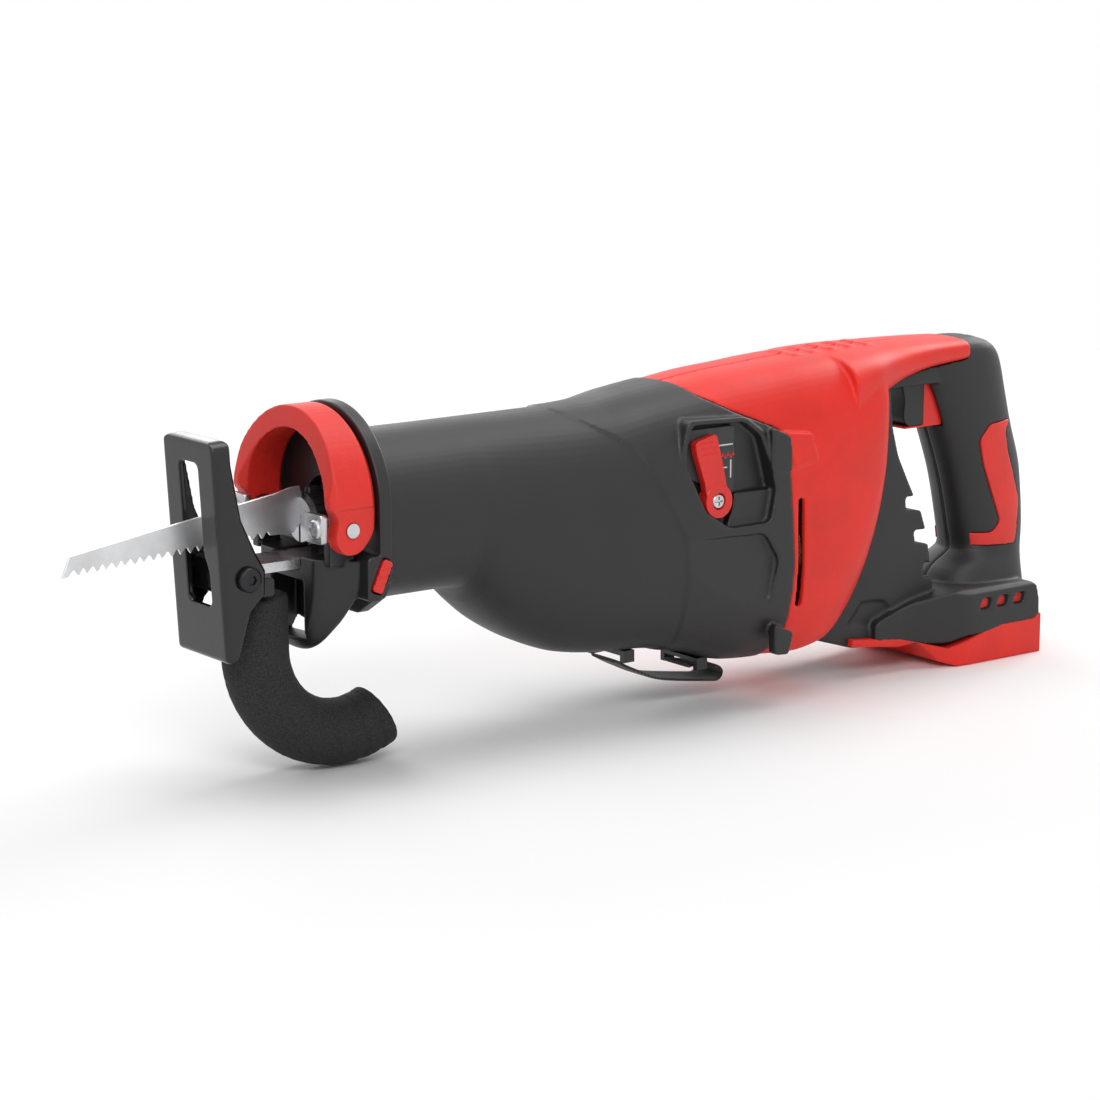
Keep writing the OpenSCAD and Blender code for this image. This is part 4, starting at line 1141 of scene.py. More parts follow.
BOW_LOW, BOW_HIGH = in_mm("release_bow")
bow_red = moulded_finish(
    "bow_red", (0.74, 0.024, 0.015), (0.82, 0.07, 0.05), 0.5, 0.9, 0.12
)
BOW_FRONT, BOW_REAR = BOW_LOW.x, BOW_HIGH.x
bow = prism(
    "release_bow_shell", arch_outline(BOW_HALF, AXIS_Z - 12), BOW_FRONT, BOW_REAR, "X"
)
cut(
    bow,
    prism(
        "bow_inside",
        arch_outline(BOW_HALF - BOW_WALL, 0),
        BOW_FRONT - 2,
        BOW_REAR + 2,
        "X",
    ),
)
crisp(bow, 2.8, 1)
# Seen from the side the bow leans back at the top and its legs end in a curve
bow_side = [
    (BOW_REAR + 2, AXIS_Z + 10),
    (BOW_REAR + 2, BOW_HIGH.z + 3),
    (BOW_FRONT + 6, BOW_HIGH.z + 3),
    (BOW_FRONT + 1, ARCH_Z + 10),
    (BOW_FRONT - 1, AXIS_Z + 12),
    (BOW_FRONT + 4, AXIS_Z + 6),
    (BOW_FRONT + 2, AXIS_Z - 3),
    (PIN_X - 4, AXIS_Z - 9),
    (PIN_X + 3, AXIS_Z - 9),
    (PIN_X + 9, AXIS_Z - 3),
]
combine(bow, prism("bow_side", bow_side, -60, 60, "Y", 2.6), "INTERSECT")
for side in (-1, 1):
    # The foot of each leg stands back from the arch by a small step
    low, high = sorted((side * (BOW_HALF - 1.2), side * (BOW_HALF + 3)))
    cut(bow, block("leg_step", (BOW_FRONT - 2, low, AXIS_Z - 12), (BOW_REAR + 2, high, AXIS_Z + 10)))
cut(bow, rod("pin_bore", 3.1, 0.9 - BOW_HALF, BOW_HALF - 0.9, (PIN_X, PIN_Z)))
softened(bow, 0.5, 3, 0.55)
finished(bow, bow_red, "release_bow")
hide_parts("release_bow")

# ---- shoe ----
# The shoe is one pressed steel plate with a long slot for the blade. Its sides
# fold back, and a bolt through them joins it to the bracket. It is painted black.

SHOE_LOW, SHOE_HIGH = in_mm("shoe")
BOLT_LOW, BOLT_HIGH = in_mm("shoe_pivot_bolt")
BOLT_X, BOLT_Z = (BOLT_LOW.x + BOLT_HIGH.x) / 2, (BOLT_LOW.z + BOLT_HIGH.z) / 2
SHOE_HALF = 20
SHOE_T = 2.5
SHOE_LEAN = math.radians(3.3)
SHOE_FRONT = BOLT_X - 12
SHOE_TOP, SHOE_BOTTOM = BOLT_Z + 56.7, BOLT_Z - 33.3

shoe_side = [
    (SHOE_FRONT, SHOE_BOTTOM),
    (SHOE_FRONT + 6, SHOE_BOTTOM - 0.2),
    (SHOE_FRONT + 8, SHOE_BOTTOM + 6),
    (BOLT_X + 1, BOLT_Z - 14),
    (BOLT_X + 8, BOLT_Z - 8),
    (BOLT_X + 9, BOLT_Z + 2),
    (BOLT_X + 5, BOLT_Z + 10),
    (BOLT_X - 0.5, BOLT_Z + 24),
    (SHOE_FRONT + 8.5, SHOE_TOP - 10),
    (SHOE_FRONT + 8.5, SHOE_TOP),
    (SHOE_FRONT, SHOE_TOP),
]
shoe = prism("shoe_plate", shoe_side, -SHOE_HALF, SHOE_HALF)
crisp(shoe, 2.2, 4, 50)
shoe_face = [
    (-SHOE_HALF, SHOE_BOTTOM - 3),
    (SHOE_HALF, SHOE_BOTTOM - 3),
    (SHOE_HALF, SHOE_TOP),
    (-SHOE_HALF, SHOE_TOP),
]
combine(
    shoe,
    prism("shoe_corners", shoe_face, SHOE_FRONT - 5, BOLT_X + 15, "X", 6, 8),
    "INTERSECT",
)
inside = [
    (SHOE_FRONT + SHOE_T, SHOE_BOTTOM + SHOE_T - 0.3),
    (BOLT_X + 20, SHOE_BOTTOM + SHOE_T - 0.3),
    (BOLT_X + 20, SHOE_TOP - SHOE_T),
    (SHOE_FRONT + SHOE_T, SHOE_TOP - SHOE_T),
]
cut(shoe, prism("shoe_inside", inside, -SHOE_HALF + SHOE_T, SHOE_HALF - SHOE_T, "Y", 2.5))
slot = [
    (-7, SHOE_TOP - 9.5),
    (7.5, SHOE_TOP - 9.5),
    (7.5, BOLT_Z - 11),
    (-10.5, BOLT_Z - 11),
    (-10.5, BOLT_Z + 4),
    (-7, BOLT_Z + 10),
]
cut(shoe, prism("blade_slot", slot, SHOE_FRONT - 5, SHOE_FRONT + SHOE_T + 5, "X", 3))
cut(shoe, rod("bolt_bore", 3.1, -60, 60, (BOLT_X, BOLT_Z)))
softened(shoe, 0.45, 4, 0.45)
turn = Matrix.Rotation(-SHOE_LEAN, 4, "Y")
pivot = Vector((BOLT_X, 0, BOLT_Z)) * MM
shoe.data.transform(Matrix.Translation(pivot) @ turn @ Matrix.Translation(-pivot))

gloss_black = bpy.data.materials.new("gloss_black")
gloss_black.use_nodes = True
tree = gloss_black.node_tree
surface = tree.nodes["Principled BSDF"]
pattern = add_group(tree, grain, Grain_per_metre=900, Patch_per_metre=160)
rubbed = add_group(tree, wear, From=0.55, To=0.68)
shade = mixed(
    tree,
    maths(tree, "MULTIPLY", rubbed.outputs["Edge"], 0.35),
    (0.006, 0.006, 0.007),
    (0.05, 0.05, 0.055),
)
tree.links.new(shade, surface.inputs["Base Color"])
tree.links.new(
    ranged(tree, pattern.outputs["Patches"], 0.3, 0.7, 0.14, 0.24),
    surface.inputs["Roughness"],
)
tree.links.new(
    bumped(tree, pattern.outputs["Patches"], 0.06), surface.inputs["Normal"]
)
finished(shoe, gloss_black, "shoe")
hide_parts("shoe")

# ---- front hook ----
# A steel rod bends down and back under the nose, inside a sleeve of black
# closed-cell foam pulled over it. Two rings are pressed in near the end.

FOAM_LOW, FOAM_HIGH = in_mm("foam_sleeve")
ROD_LOW, ROD_HIGH = in_mm("hook_rod")
FOAM_R = FOAM_HIGH.y
HOOK_X = FOAM_LOW.x + FOAM_R
HOOK_BEND = FOAM_R + 26.25
HOOK_Z = FOAM_R + HOOK_BEND
HOOK_SWEEP = math.radians(117)
STRAIGHT, TURN, ROUND = 8, 92, 4
SLEEVE_POINTS = 72


def hook_point(ring, radius, angle):
    """A point on the sleeve: straight down, then round the bend, then closed."""
    if ring < STRAIGHT:
        lift = (FOAM_HIGH.z - HOOK_Z) * (1 - ring / STRAIGHT)
        return (
            HOOK_X + radius * math.cos(angle),
            radius * math.sin(angle),
            HOOK_Z + lift,
        )
    swing = HOOK_SWEEP * min(ring - STRAIGHT, TURN) / TURN
    reach = HOOK_BEND - radius * math.cos(angle)
    return (
        HOOK_X + HOOK_BEND - reach * math.cos(swing),
        radius * math.sin(angle),
        HOOK_Z - reach * math.sin(swing),
    )


def sleeve_place(ring, angle):
    along = ring - STRAIGHT
    radius = FOAM_R - 0.3
    for groove in (TURN - 7, TURN - 16):
        radius -= 0.8 * math.exp(-(((along - groove) / 0.7) ** 2))
    # The cut end is slightly rounded over, and nearly flat inside that
    if along > TURN - 1:
        radius = (FOAM_R - 0.8, FOAM_R - 1.8, 9, 5, 1.5)[along - TURN]
    return hook_point(ring, radius, angle)


sleeve = drawn_out("foam_sleeve_skin", STRAIGHT + TURN + ROUND + 1, SLEEVE_POINTS, sleeve_place)
pick(sleeve)
step = sleeve.modifiers.new("fine", "SUBSURF")
step.levels = step.render_levels = 1
bpy.ops.object.modifier_apply(modifier=step.name)
for corner in sleeve.data.vertices:
    # The cells of the foam leave its skin slightly uneven
    uneven = noise.noise(corner.co * 520) * 0.12 + noise.noise(corner.co * 60) * 0.1
    corner.co += corner.normal * uneven * MM
bpy.ops.object.shade_smooth()

foam_grey = bpy.data.materials.new("foam_grey")
foam_grey.use_nodes = True
tree = foam_grey.node_tree
surface = tree.nodes["Principled BSDF"]
where = tree.nodes.new("ShaderNodeTexCoord").outputs["Object"]
cells = tree.nodes.new("ShaderNodeTexVoronoi")
cells.inputs["Scale"].default_value = 900
tree.links.new(where, cells.inputs["Vector"])
clumps = noise_of(tree, where, 1500, 3, 0.6)
pores = ranged(tree, cells.outputs["Distance"], 0.1, 0.8, 0, 1)
skin = maths(tree, "ADD", maths(tree, "MULTIPLY", pores, 0.6), maths(tree, "MULTIPLY", clumps, 0.8))
shade = mixed(
    tree, ranged(tree, clumps, 0.32, 0.72, 0, 1), (0.012, 0.012, 0.013), (0.04, 0.04, 0.042)
)
tree.links.new(shade, surface.inputs["Base Color"])
tree.links.new(ranged(tree, clumps, 0.3, 0.7, 0.92, 0.78), surface.inputs["Roughness"])
tree.links.new(bumped(tree, skin, 0.35, 0.8), surface.inputs["Normal"])
surface.inputs["Specular IOR Level"].default_value = 0.35
finished(sleeve, foam_grey, "shoe_carrier")
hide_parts("foam_sleeve")

# ---- shoe bracket and bolt ----
# A painted steel bracket on the end of the bar carries the hook and the shoe.
# The shoe turns on a black bolt with a domed head and a hex socket.

BRACKET_LOW, BRACKET_HIGH = in_mm("shoe_bracket")
bracket_side = [
    (BOLT_X - 6, BAR_LOW.z - 6),
    (BOLT_X - 6, BAR_LOW.z + 2),
    (BOLT_X - 2, BRACKET_HIGH.z),
    (BOLT_X + 5, BRACKET_HIGH.z),
    (BOLT_X + 6, BAR_LOW.z - 0.3),
    (BRACKET_HIGH.x, BAR_LOW.z - 0.3),
    (BRACKET_HIGH.x, BRACKET_LOW.z),
    (BOLT_X - 3, BRACKET_LOW.z),
]
bracket = prism(
    "bracket_block", bracket_side, BRACKET_LOW.y, BRACKET_HIGH.y, "Y", 1.5
)
cut(bracket, rod("bolt_bore", 3.05, -40, 40, (BOLT_X, BOLT_Z)))
crisp(bracket, 0.8, 3)
finished(bracket, gloss_black, "shoe_carrier")
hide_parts("shoe_bracket")

bolt = rod("shoe_bolt", 3, BOLT_LOW.y + 2, BOLT_HIGH.y - 2, (BOLT_X, BOLT_Z))
for side in (-1, 1):
    edge = BOLT_LOW.y if side < 0 else BOLT_HIGH.y

    def head_place(ring, angle, side=side, edge=edge):
        radius, depth = ((5.2, 3), (5.2, 1.6), (4.7, 0.7), (3.4, 0.15), (1.0, 0))[ring]
        return (
            BOLT_X + radius * math.cos(angle),
            edge - side * depth,
            BOLT_Z + radius * math.sin(angle),
        )

    head = drawn_out("bolt_head", 5, 40, head_place)
    socket_low, socket_high = sorted((edge - side * 1.6, edge + side))
    cut(head, rod("hex_socket", 2.1, socket_low, socket_high, (BOLT_X, BOLT_Z), "Y", 6))
    join(bolt, head)
crisp(bolt, 0.15, 2)

black_oxide = bpy.data.materials.new("black_oxide")
black_oxide.use_nodes = True
tree = black_oxide.node_tree
surface = tree.nodes["Principled BSDF"]
surface.inputs["Metallic"].default_value = 0.85
pattern = add_group(tree, grain, Grain_per_metre=2600, Patch_per_metre=300)
rubbed = add_group(tree, wear, From=0.54, To=0.66)
tree.links.new(
    mixed(tree, rubbed.outputs["Edge"], (0.035, 0.035, 0.038), (0.22, 0.22, 0.23)),
    surface.inputs["Base Color"],
)
tree.links.new(
    ranged(tree, pattern.outputs["Patches"], 0.3, 0.7, 0.26, 0.4),
    surface.inputs["Roughness"],
)
tree.links.new(bumped(tree, pattern.outputs["Height"], 0.01), surface.inputs["Normal"])
finished(bolt, black_oxide, "shoe_carrier")
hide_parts("shoe_pivot_bolt")

# ---- saw blade ----
# The blade is punched from spring steel. Its teeth are ground and bent to the
# left and right in turn, and a fine grind runs along its length.

BLADE_LOW, BLADE_HIGH = in_mm("saw_blade")
CLAMP_LOW, CLAMP_HIGH = in_mm("clamp_body")
PITCH = 4.2
BLADE_LENGTH = 110
BLADE_T = BLADE_HIGH.y - BLADE_LOW.y
ROOT_LOW = -9
LEAN = math.radians(3)
TEETH = int((BLADE_LENGTH - 14) / PITCH)
TOOTH = 2.5


def on_blade(along, across):
    """A point in the blade's own lines, turned to its lean at the clamp."""
    return (
        CLAMP_LOW.x + along * math.cos(LEAN) - across * math.sin(LEAN),
        AXIS_Z + 4 + along * math.sin(LEAN) + across * math.cos(LEAN),
    )


lower = []
for k in range(TEETH):
    start_x = -BLADE_LENGTH + 3 + k * PITCH
    lower += [
        (start_x, ROOT_LOW + 0.1),
        (start_x + 0.5 * PITCH, ROOT_LOW + TOOTH),
        (start_x + 0.72 * PITCH, ROOT_LOW + TOOTH),
        (start_x + 0.93 * PITCH, ROOT_LOW + 0.9),
    ]
outline = [(-BLADE_LENGTH, ROOT_LOW)] + lower
outline += [
    (-4, ROOT_LOW),
    (1.5, -4),
    (12, -4),
    (12, 4),
    (1.5, 4),
    (0.5, ROOT_LOW + 19),
    (-4, ROOT_LOW + 19),
    (-10, ROOT_LOW + 17.8),
    (-BLADE_LENGTH + 4, ROOT_LOW + 8),
]
blade = prism(
    "saw_blade_ground",
    [on_blade(a, b) for a, b in outline],
    -BLADE_T / 2,
    BLADE_T / 2,
)
tips = [on_blade(-BLADE_LENGTH + 3 + k * PITCH, ROOT_LOW + 0.1) for k in range(TEETH)]
for k, (x, z) in enumerate(tips):
    for corner in blade.data.vertices:
        if math.hypot(corner.co.x / MM - x, corner.co.z / MM - z) < 0.4:
            corner.co.y += (-0.35 if k % 2 else 0.35) * MM
crisp(blade, 0.12, 1, 50)


def metal_finish(name, colour, dark, rough, stretch, depth, metallic=1.0):
    """Bare metal with the lines of its grinding or turning, and faint stains."""
    finish = bpy.data.materials.new(name)
    finish.use_nodes = True
    tree = finish.node_tree
    surface = tree.nodes["Principled BSDF"]
    surface.inputs["Metallic"].default_value = metallic
    place = tree.nodes.new("ShaderNodeMapping")
    place.inputs["Scale"].default_value = stretch
    where = tree.nodes.new("ShaderNodeTexCoord").outputs["Object"]
    tree.links.new(where, place.inputs["Vector"])
    lines = noise_of(tree, place.outputs["Vector"], 1, 4, 0.6)
    stains = noise_of(tree, where, 70, 5, 0.6)
    rubbed = add_group(tree, wear, From=0.53, To=0.64)
    shade = mixed(tree, ranged(tree, stains, 0.35, 0.7, 0, 1), colour, dark)
    shade = mixed(
        tree,
        maths(tree, "MULTIPLY", rubbed.outputs["Edge"], 0.6),
        shade,
        tuple(min(c * 1.2, 0.95) for c in colour),
    )
    tree.links.new(shade, surface.inputs["Base Color"])
    tree.links.new(
        ranged(tree, lines, 0.3, 0.7, rough - 0.06, rough + 0.08),
        surface.inputs["Roughness"],
    )
    tree.links.new(bumped(tree, lines, depth), surface.inputs["Normal"])
    return finish


ground_steel = metal_finish(
    "ground_steel", (0.72, 0.73, 0.74), (0.58, 0.59, 0.61), 0.34, (60, 60, 2600), 0.012, 0.9
)
finished(blade, ground_steel, "plunger")
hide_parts("saw_blade")

# ---- clamp and bow fittings ----
# The blade clamp is turned steel with a knurled black sleeve. Two steel plates
# screwed to the bow push the sleeve round, and a bent wire swings the bow back.

steel = metal_finish(
    "machined_steel", (0.6, 0.6, 0.62), (0.42, 0.42, 0.44), 0.3, (900, 90, 900), 0.01
)
SLEEVE_LOW, SLEEVE_HIGH = in_mm("clamp_sleeve")
SLEEVE_R = 11
clamp_ring = rod(
    "clamp_ring", SLEEVE_R, SLEEVE_LOW.x, SLEEVE_HIGH.x, (0, AXIS_Z), "X", 64
)
cut(
    clamp_ring,
    rod("ring_bore", SLEEVE_R - 1.6, SLEEVE_LOW.x - 2, SLEEVE_HIGH.x + 2, (0, AXIS_Z), "X", 64),
)
for k in range(18):
    turn_k = 2 * math.pi * k / 18
    groove = rod(
        "knurl",
        0.55,
        SLEEVE_LOW.x + 1.5,
        SLEEVE_HIGH.x - 1.5,
        (
            (SLEEVE_R + 0.15) * math.cos(turn_k),
            AXIS_Z + (SLEEVE_R + 0.15) * math.sin(turn_k),
        ),
        "X",
        10,
    )
    cut(clamp_ring, groove)
join(
    clamp_ring,
    block(
        "sleeve_tab",
        (SLEEVE_LOW.x + 2, -2, AXIS_Z + SLEEVE_R - 1.5),
        (SLEEVE_LOW.x + 8, 2, SLEEVE_HIGH.z),
        0.8,
    ),
)
cut(
    clamp_ring,
    block("ring_gap", (SLEEVE_LOW.x - 2, -3, 0), (SLEEVE_LOW.x + 12, 3, AXIS_Z - 4)),
)
cut(
    clamp_ring,
    block("ring_slit", (SLEEVE_LOW.x - 2, -0.9, AXIS_Z), (SLEEVE_LOW.x + 2.5, 0.9, 200)),
)
crisp(clamp_ring, 0.2, 2)
finished(clamp_ring, trim_black, "clamp_sleeve")
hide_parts("clamp_sleeve")

SPRING_LOW, SPRING_HIGH = in_mm("clamp_spring")
SPRING_R = SPRING_HIGH.y - 0.6
COILS, PER_COIL = 4, 28


def spring_place(ring, angle):
    """A round wire wound along the clamp."""
    turn_at = 2 * math.pi * ring / PER_COIL
    run = SPRING_LOW.x + 0.6 + (SPRING_HIGH.x - SPRING_LOW.x - 1.2) * ring / (
        COILS * PER_COIL
    )
    reach = SPRING_R + 0.55 * math.cos(angle)
    return (
        run + 0.55 * math.sin(angle),
        reach * math.cos(turn_at),
        AXIS_Z + reach * math.sin(turn_at),
    )


spring = drawn_out("clamp_spring_wire", COILS * PER_COIL + 1, 10, spring_place)
bpy.ops.object.shade_smooth()
finished(spring, steel, "plunger")
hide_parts("clamp_spring")

PLATE_LOW, PLATE_HIGH = in_mm("bow_cam_plates")
plates = None
for side in (-1, 1):
    inner, outer = side * 22.6, side * (BOW_HALF - 4.5)
    low, high = sorted((inner, outer))
    plate = prism(
        "cam_plate",
        [(low, AXIS_Z - 4), (high, AXIS_Z - 4), (high, AXIS_Z + 8), (low, AXIS_Z + 8)],
        PLATE_LOW.x + 2,
        PLATE_HIGH.x,
        "X",
        1.5,
    )
    crisp(plate, 0.3, 2)
    screw_y, screw_z = side * (BOW_HALF - 8), AXIS_Z + 2

    def screw_place(ring, angle, screw_y=screw_y, screw_z=screw_z):
        radius, depth = ((4, 2.2), (4, 0.9), (3.5, 0.3), (1.2, 0.05))[ring]
        return (
            PLATE_LOW.x + depth,
            screw_y + radius * math.cos(angle),
            screw_z + radius * math.sin(angle),
        )

    head = drawn_out("plate_screw", 4, 32, screw_place)
    for wide, tall in ((2.2, 0.45), (0.45, 2.2)):
        cut(
            head,
            block(
                "cross",
                (PLATE_LOW.x - 1, screw_y - wide, screw_z - tall),
                (PLATE_LOW.x + 1.1, screw_y + wide, screw_z + tall),
            ),
        )
    crisp(head, 0.12, 2)
    join(plate, head)
    if plates is None:
        plates = plate
        plates.name = plates.data.name = "bow_plates"
    else:
        pick(plates, plate)
        bpy.ops.object.join()
pick(plates)
bpy.ops.object.shade_smooth_by_angle(angle=math.radians(35))
finished(plates, steel, "release_bow")
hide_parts("bow_cam_plates")

# The wire runs up the collar, bends over and hooks into it
WIRE_LOW, WIRE_HIGH = in_mm("bow_return_wire")
WIRE_R = 0.9
WIRE_X, WIRE_Y = FLANGE_X - 1.6, -20
wire_path = [
    (WIRE_X, WIRE_Y, CHIN_TOP + 0.5),
    (WIRE_X - 2, WIRE_Y, CHIN_TOP + 8),
    (WIRE_X - 2, WIRE_Y + 0.5, AXIS_Z + 6),
    (WIRE_X - 1.5, WIRE_Y + 3, AXIS_Z + 17),
    (WIRE_X - 1, WIRE_Y + 7, AXIS_Z + 25),
    (WIRE_X + 1, WIRE_Y + 9, AXIS_Z + 29),
]


def along_path(path, t):
    """A point on a smooth line through the points, with t from 0 to 1."""
    t = min(max(t, 0), 1) * (len(path) - 1)
    k = min(int(t), len(path) - 2)
    u = t - k
    p = [Vector(path[min(max(k + i, 0), len(path) - 1)]) for i in (-1, 0, 1, 2)]
    return 0.5 * (
        2 * p[1]
        + (p[2] - p[0]) * u
        + (2 * p[0] - 5 * p[1] + 4 * p[2] - p[3]) * u**2
        + (3 * p[1] - p[0] - 3 * p[2] + p[3]) * u**3
    )


def wire(name, path, radius, rings=40, points=14, across=Vector((0, 1, 0))):
    """A round wire bent along a path."""

    def place(ring, angle):
        t = ring / (rings - 1)
        middle_at = along_path(path, t)
        ahead = along_path(path, t + 0.01) - along_path(path, t - 0.01)
        side_way = ahead.cross(across).normalized()
        up = side_way.cross(ahead).normalized()
        return middle_at + radius * (side_way * math.cos(angle) + up * math.sin(angle))

    piece = drawn_out(name, rings, points, place)
    bpy.ops.object.shade_smooth()
    return piece


return_wire = wire("bow_wire", wire_path, WIRE_R)
finished(return_wire, steel, "housing")
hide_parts("bow_return_wire")

# ---- stroke lever ----
# A red moulded lever turns on a cross-head screw in the pocket. Behind it a
# black plate carries plain marks for the two strokes.

LEVER_LOW, LEVER_HIGH = in_mm("stroke_lever")
LEVER_TILT = math.radians(-14)
boss = rod("boss", 7.4, LEVER_LOW.y, LEVER_HIGH.y, (LEVER_X, LEVER_Z), "Y", 64)
arm_outline = [(-6.4, -2), (6, -2), (6.2, 18), (5.8, 29.5), (-6.4, 29.5), (-6.8, 24), (-5.4, 10)]
arm = prism(
    "stroke_lever_arm",
    [
        (
            LEVER_X + a * math.cos(LEVER_TILT) + b * math.sin(LEVER_TILT),
            LEVER_Z - a * math.sin(LEVER_TILT) + b * math.cos(LEVER_TILT),
        )
        for a, b in arm_outline
    ],
    LEVER_LOW.y + 0.6,
    LEVER_LOW.y + 4.6,
    "Y",
    1.8,
)
lever = join(arm, boss)
lever.name = lever.data.name = "stroke_lever_red"
for k in range(3):
    # Grip ridges at the lever's end
    b = 27.5 - 2.6 * k
    x = LEVER_X + b * math.sin(LEVER_TILT)
    z = LEVER_Z + b * math.cos(LEVER_TILT)
    cut(lever, rod("grip_line", 0.55, x - 4.5, x + 4.5, (LEVER_LOW.y + 0.5, z), "X", 12))
cut(lever, rod("screw_seat", 3.7, LEVER_LOW.y - 2, LEVER_LOW.y + 2.4, (LEVER_X, LEVER_Z)))
softened(lever, 0.3, 3, 0.5)
finished(lever, lever_red, "stroke_lever")
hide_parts("stroke_lever")

SCREW_LOW, SCREW_HIGH = in_mm("stroke_lever_screw")


def lever_screw_place(ring, angle):
    radius, depth = ((1.9, 7.5), (1.9, 2.2), (3.4, 2.1), (3.4, 0.8), (2.8, 0.25), (1, 0))[ring]
    return (
        LEVER_X + radius * math.cos(angle),
        SCREW_LOW.y + depth,
        LEVER_Z + radius * math.sin(angle),
    )


lever_screw = drawn_out("lever_cross_screw", 6, 36, lever_screw_place)
for wide, tall in ((2.1, 0.42), (0.42, 2.1)):
    cut(
        lever_screw,
        block(
            "cross",
            (LEVER_X - wide, SCREW_LOW.y - 1, LEVER_Z - tall),
            (LEVER_X + wide, SCREW_LOW.y + 1.2, LEVER_Z + tall),
        ),
    )
crisp(lever_screw, 0.1, 2)
finished(lever_screw, steel, "stroke_lever")
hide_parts("stroke_lever_screw")

DIAL_LOW, DIAL_HIGH = in_mm("stroke_dial")
dial = prism(
    "dial_plate",
    [
        (DIAL_LOW.x, LEVER_Z + 12),
        (LEVER_X + 8, LEVER_Z + 2),
        (DIAL_HIGH.x, LEVER_Z + 2),
        (DIAL_HIGH.x, DIAL_HIGH.z - 1),
        (DIAL_LOW.x, DIAL_HIGH.z - 1),
    ],
    DIAL_LOW.y,
    DIAL_HIGH.y,
    "Y",
    1.2,
)
crisp(dial, 0.25, 2)
finished(dial, trim_black, "housing")
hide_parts("stroke_dial")


def print_paint(name, colour):
    """Flat ink, a little uneven where it took less well."""
    finish = bpy.data.materials.new(name)
    finish.use_nodes = True
    tree = finish.node_tree
    surface = tree.nodes["Principled BSDF"]
    where = tree.nodes.new("ShaderNodeTexCoord").outputs["Object"]
    thin = noise_of(tree, where, 1500, 3, 0.6)
    shade = mixed(tree, ranged(tree, thin, 0.35, 0.65, 0, 1), tuple(c * 0.85 for c in colour), colour)
    tree.links.new(shade, surface.inputs["Base Color"])
    tree.links.new(ranged(tree, thin, 0.3, 0.7, 0.4, 0.55), surface.inputs["Roughness"])
    return finish


white_ink = print_paint("white_ink", (0.75, 0.75, 0.75))
red_ink = print_paint("red_ink", (0.6, 0.02, 0.015))
INK_Y = DIAL_LOW.y - 0.08
# A plain wave and three arrow shapes mark the settings
marks = []
for k in range(6):
    x = LEVER_X + 3.0 + 1.5 * k
    z = LEVER_Z + 19 + (0.9 if k % 2 else 0)
    marks.append([(x, z - 1.2), (x + 1.5, z - 1.2), (x + 0.75, z + 0.9)])
wave = None
for outline in marks:
    tooth = prism("mark", outline, INK_Y, DIAL_LOW.y + 0.2)
    if wave is None:
        wave = tooth
    else:
        pick(wave, tooth)
        bpy.ops.object.join()
wave.name = wave.data.name = "dial_marks_red"
finished(wave, red_ink, "housing")
bars = None
for x, z, wide, tall in ((3, 23.5, 8, 0.6), (9.5, 9, 0.7, 8), (5, 13.5, 2.8, 0.6)):
    bar = block(
        "bar",
        (LEVER_X + x, INK_Y, LEVER_Z + z),
        (LEVER_X + x + wide, DIAL_LOW.y + 0.2, LEVER_Z + z + tall),
    )
    if bars is None:
        bars = bar
    else:
        pick(bars, bar)
        bpy.ops.object.join()
bars.name = bars.data.name = "dial_marks_white"
finished(bars, white_ink, "housing")

# ---- trigger ----
# The trigger has a black finger pad on a red body, and slides into the grip.

PAD_LOW, PAD_HIGH = in_mm("trigger_front")
TBODY_LOW, TBODY_HIGH = in_mm("trigger_body")
pad_side = [
    (PAD_HIGH.x, PAD_LOW.z + 1),
    (PAD_HIGH.x, PAD_HIGH.z),
    (PAD_LOW.x + 5, PAD_HIGH.z),
    (PAD_LOW.x, PAD_HIGH.z - 5),
    (PAD_LOW.x + 2.2, PAD_HIGH.z - 13),
    (PAD_LOW.x + 1, PAD_LOW.z + 5),
    (PAD_LOW.x + 4, PAD_LOW.z + 1),
]
pad = prism("trigger_pad", pad_side, PAD_LOW.y, PAD_HIGH.y, "Y", 2)
softened(pad, 0.4, 6, 0.5)
finished(pad, trim_black, "trigger")
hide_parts("trigger_front")
trigger_red = block(
    "trigger_red_body",
    (TBODY_LOW.x + 0.05, TBODY_LOW.y, TBODY_LOW.z),
    (TBODY_HIGH.x, TBODY_HIGH.y, TBODY_HIGH.z),
    1,
)
join(
    trigger_red,
    block(
        "trigger_lip",
        (PAD_LOW.x + 2, PAD_LOW.y, PAD_LOW.z),
        (TBODY_LOW.x + 2, PAD_HIGH.y, PAD_LOW.z + 0.9),
    ),
)
softened(trigger_red, 0.35, 2, 0.5)
finished(trigger_red, lever_red, "trigger")
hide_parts("trigger_body")

# ---- strap ----
# A woven black strap hangs in a flat loop from two eyes under the body. Its
# two runs lie apart, and the tail is doubled back and stitched.

STRAP_LOW, STRAP_HIGH = in_mm("strap")
ANCHOR_LOW, ANCHOR_HIGH = in_mm("strap_anchor")
STRAP_HALF = STRAP_HIGH.y - 0.4
STRAP_T = 1.5
top_front = (ANCHOR_LOW.x - 0.5, STRAP_HIGH.z - 3)
strap_path = [
    (top_front[0], 0, top_front[1]),
    (top_front[0] + 10, 0, top_front[1] - 5.2),
    (top_front[0] + 25, 0, STRAP_LOW.z + 6.2),
    (STRAP_HIGH.x - 10, 0, STRAP_LOW.z + 1.6),
    (STRAP_HIGH.x - 3, 0, STRAP_LOW.z + 1.4),
    (STRAP_HIGH.x - 1.2, 0, STRAP_LOW.z + 4.2),
    (STRAP_HIGH.x - 4, 0, STRAP_LOW.z + 7.2),
    (STRAP_HIGH.x - 12, 0, STRAP_LOW.z + 8.2),
    (ANCHOR_HIGH.x - 4, 0, top_front[1] - 8),
    (ANCHOR_HIGH.x - 7, 0, ANCHOR_LOW.z + 1.2),
]
STRAP_RINGS = 90


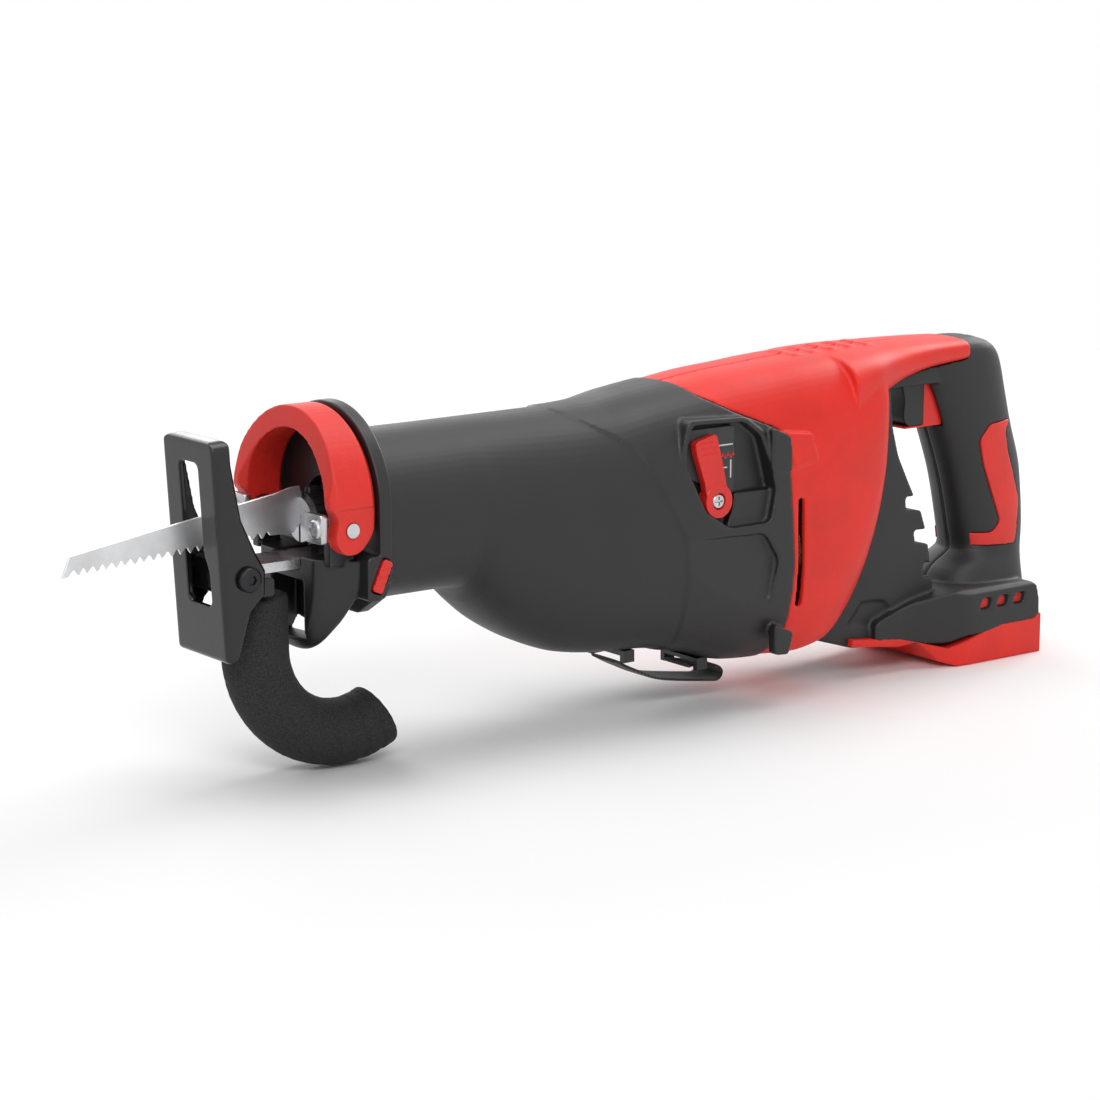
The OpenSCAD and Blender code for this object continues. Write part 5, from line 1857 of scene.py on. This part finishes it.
def strap_place(ring, angle):
    t = ring / (STRAP_RINGS - 1)
    middle_at = along_path(strap_path, t)
    ahead = (along_path(strap_path, t + 0.01) - along_path(strap_path, t - 0.01)).normalized()
    flat = Vector((0, 1, 0))
    up = ahead.cross(flat)
    ripple = 0.25 * math.sin(9 * t * math.pi)
    return (
        middle_at
        + flat * (STRAP_HALF * power(math.cos(angle), 9) + ripple)
        + up * (STRAP_T / 2 * power(math.sin(angle), 3))
    )


strap = drawn_out("strap_web", STRAP_RINGS, 48, strap_place)
bpy.ops.object.shade_smooth_by_angle(angle=math.radians(50))
webbing = bpy.data.materials.new("webbing")
webbing.use_nodes = True
tree = webbing.node_tree
surface = tree.nodes["Principled BSDF"]
where = tree.nodes.new("ShaderNodeTexCoord").outputs["Object"]
across_wave = tree.nodes.new("ShaderNodeTexWave")
across_wave.bands_direction = "Y"
across_wave.inputs["Scale"].default_value = 240
across_wave.inputs["Distortion"].default_value = 0.4
along_wave = tree.nodes.new("ShaderNodeTexWave")
along_wave.bands_direction = "X"
along_wave.inputs["Scale"].default_value = 160
along_wave.inputs["Distortion"].default_value = 0.4
tree.links.new(where, across_wave.inputs["Vector"])
tree.links.new(where, along_wave.inputs["Vector"])
weave = maths(tree, "MULTIPLY", across_wave.outputs["Fac"], along_wave.outputs["Fac"])
fuzz = noise_of(tree, where, 2500, 3, 0.7)
thread = maths(tree, "ADD", weave, maths(tree, "MULTIPLY", fuzz, 0.4))
shade = mixed(tree, ranged(tree, thread, 0.1, 1.1, 0, 1), (0.006, 0.006, 0.007), (0.035, 0.035, 0.038))
tree.links.new(shade, surface.inputs["Base Color"])
tree.links.new(ranged(tree, fuzz, 0.3, 0.7, 0.7, 0.9), surface.inputs["Roughness"])
tree.links.new(bumped(tree, thread, 0.3), surface.inputs["Normal"])
surface.inputs["Sheen Weight"].default_value = 0.3
finished(strap, webbing, "housing")
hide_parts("strap")

# ---- carried-over pieces ----
# Drive, motor, bearings, bushes and screws keep their frame shapes and get
# the finish of their material.

cast_alloy = metal_finish(
    "cast_alloy", (0.5, 0.51, 0.53), (0.38, 0.39, 0.41), 0.48, (700, 700, 700), 0.03
)
bronze = metal_finish(
    "bronze", (0.56, 0.36, 0.17), (0.42, 0.26, 0.12), 0.4, (1200, 60, 1200), 0.01
)
copper = metal_finish(
    "copper", (0.78, 0.36, 0.2), (0.6, 0.27, 0.14), 0.3, (300, 2200, 2200), 0.04
)
seal_rubber = moulded_finish(
    "seal_rubber", (0.02, 0.02, 0.02), (0.04, 0.04, 0.04), 0.6, 0.5, 0.01
)
board_green = moulded_finish(
    "board_green", (0.02, 0.12, 0.05), (0.1, 0.2, 0.1), 0.35, 1.2, 0.02
)
KEPT = (
    (trim_black, "terminal_block trigger_switch motor_fan strap_anchor"),
    (cast_alloy, "gear_case rotor_core counterweight"),
    (
        steel,
        "motor_stator rotor_bearing_front rotor_bearing_rear spindle_bearing_upper "
        "spindle_bearing_lower bow_pivot_pins rotor_shaft motor_pinion face_gear "
        "crank_spindle crank_roller plunger_rod crank_yoke clamp_body shoe_bar "
        "hook_rod stroke_shaft",
    ),
    (black_oxide, "housing_screws"),
    (bronze, "plunger_bush_front plunger_bush_rear"),
    (copper, "stator_windings battery_contacts"),
    (seal_rubber, "plunger_seal"),
    (board_green, "control_board"),
)
for finish, names in KEPT:
    for node in names.split():
        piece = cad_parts[node]
        piece.data.materials.clear()
        piece.data.materials.append(finish)
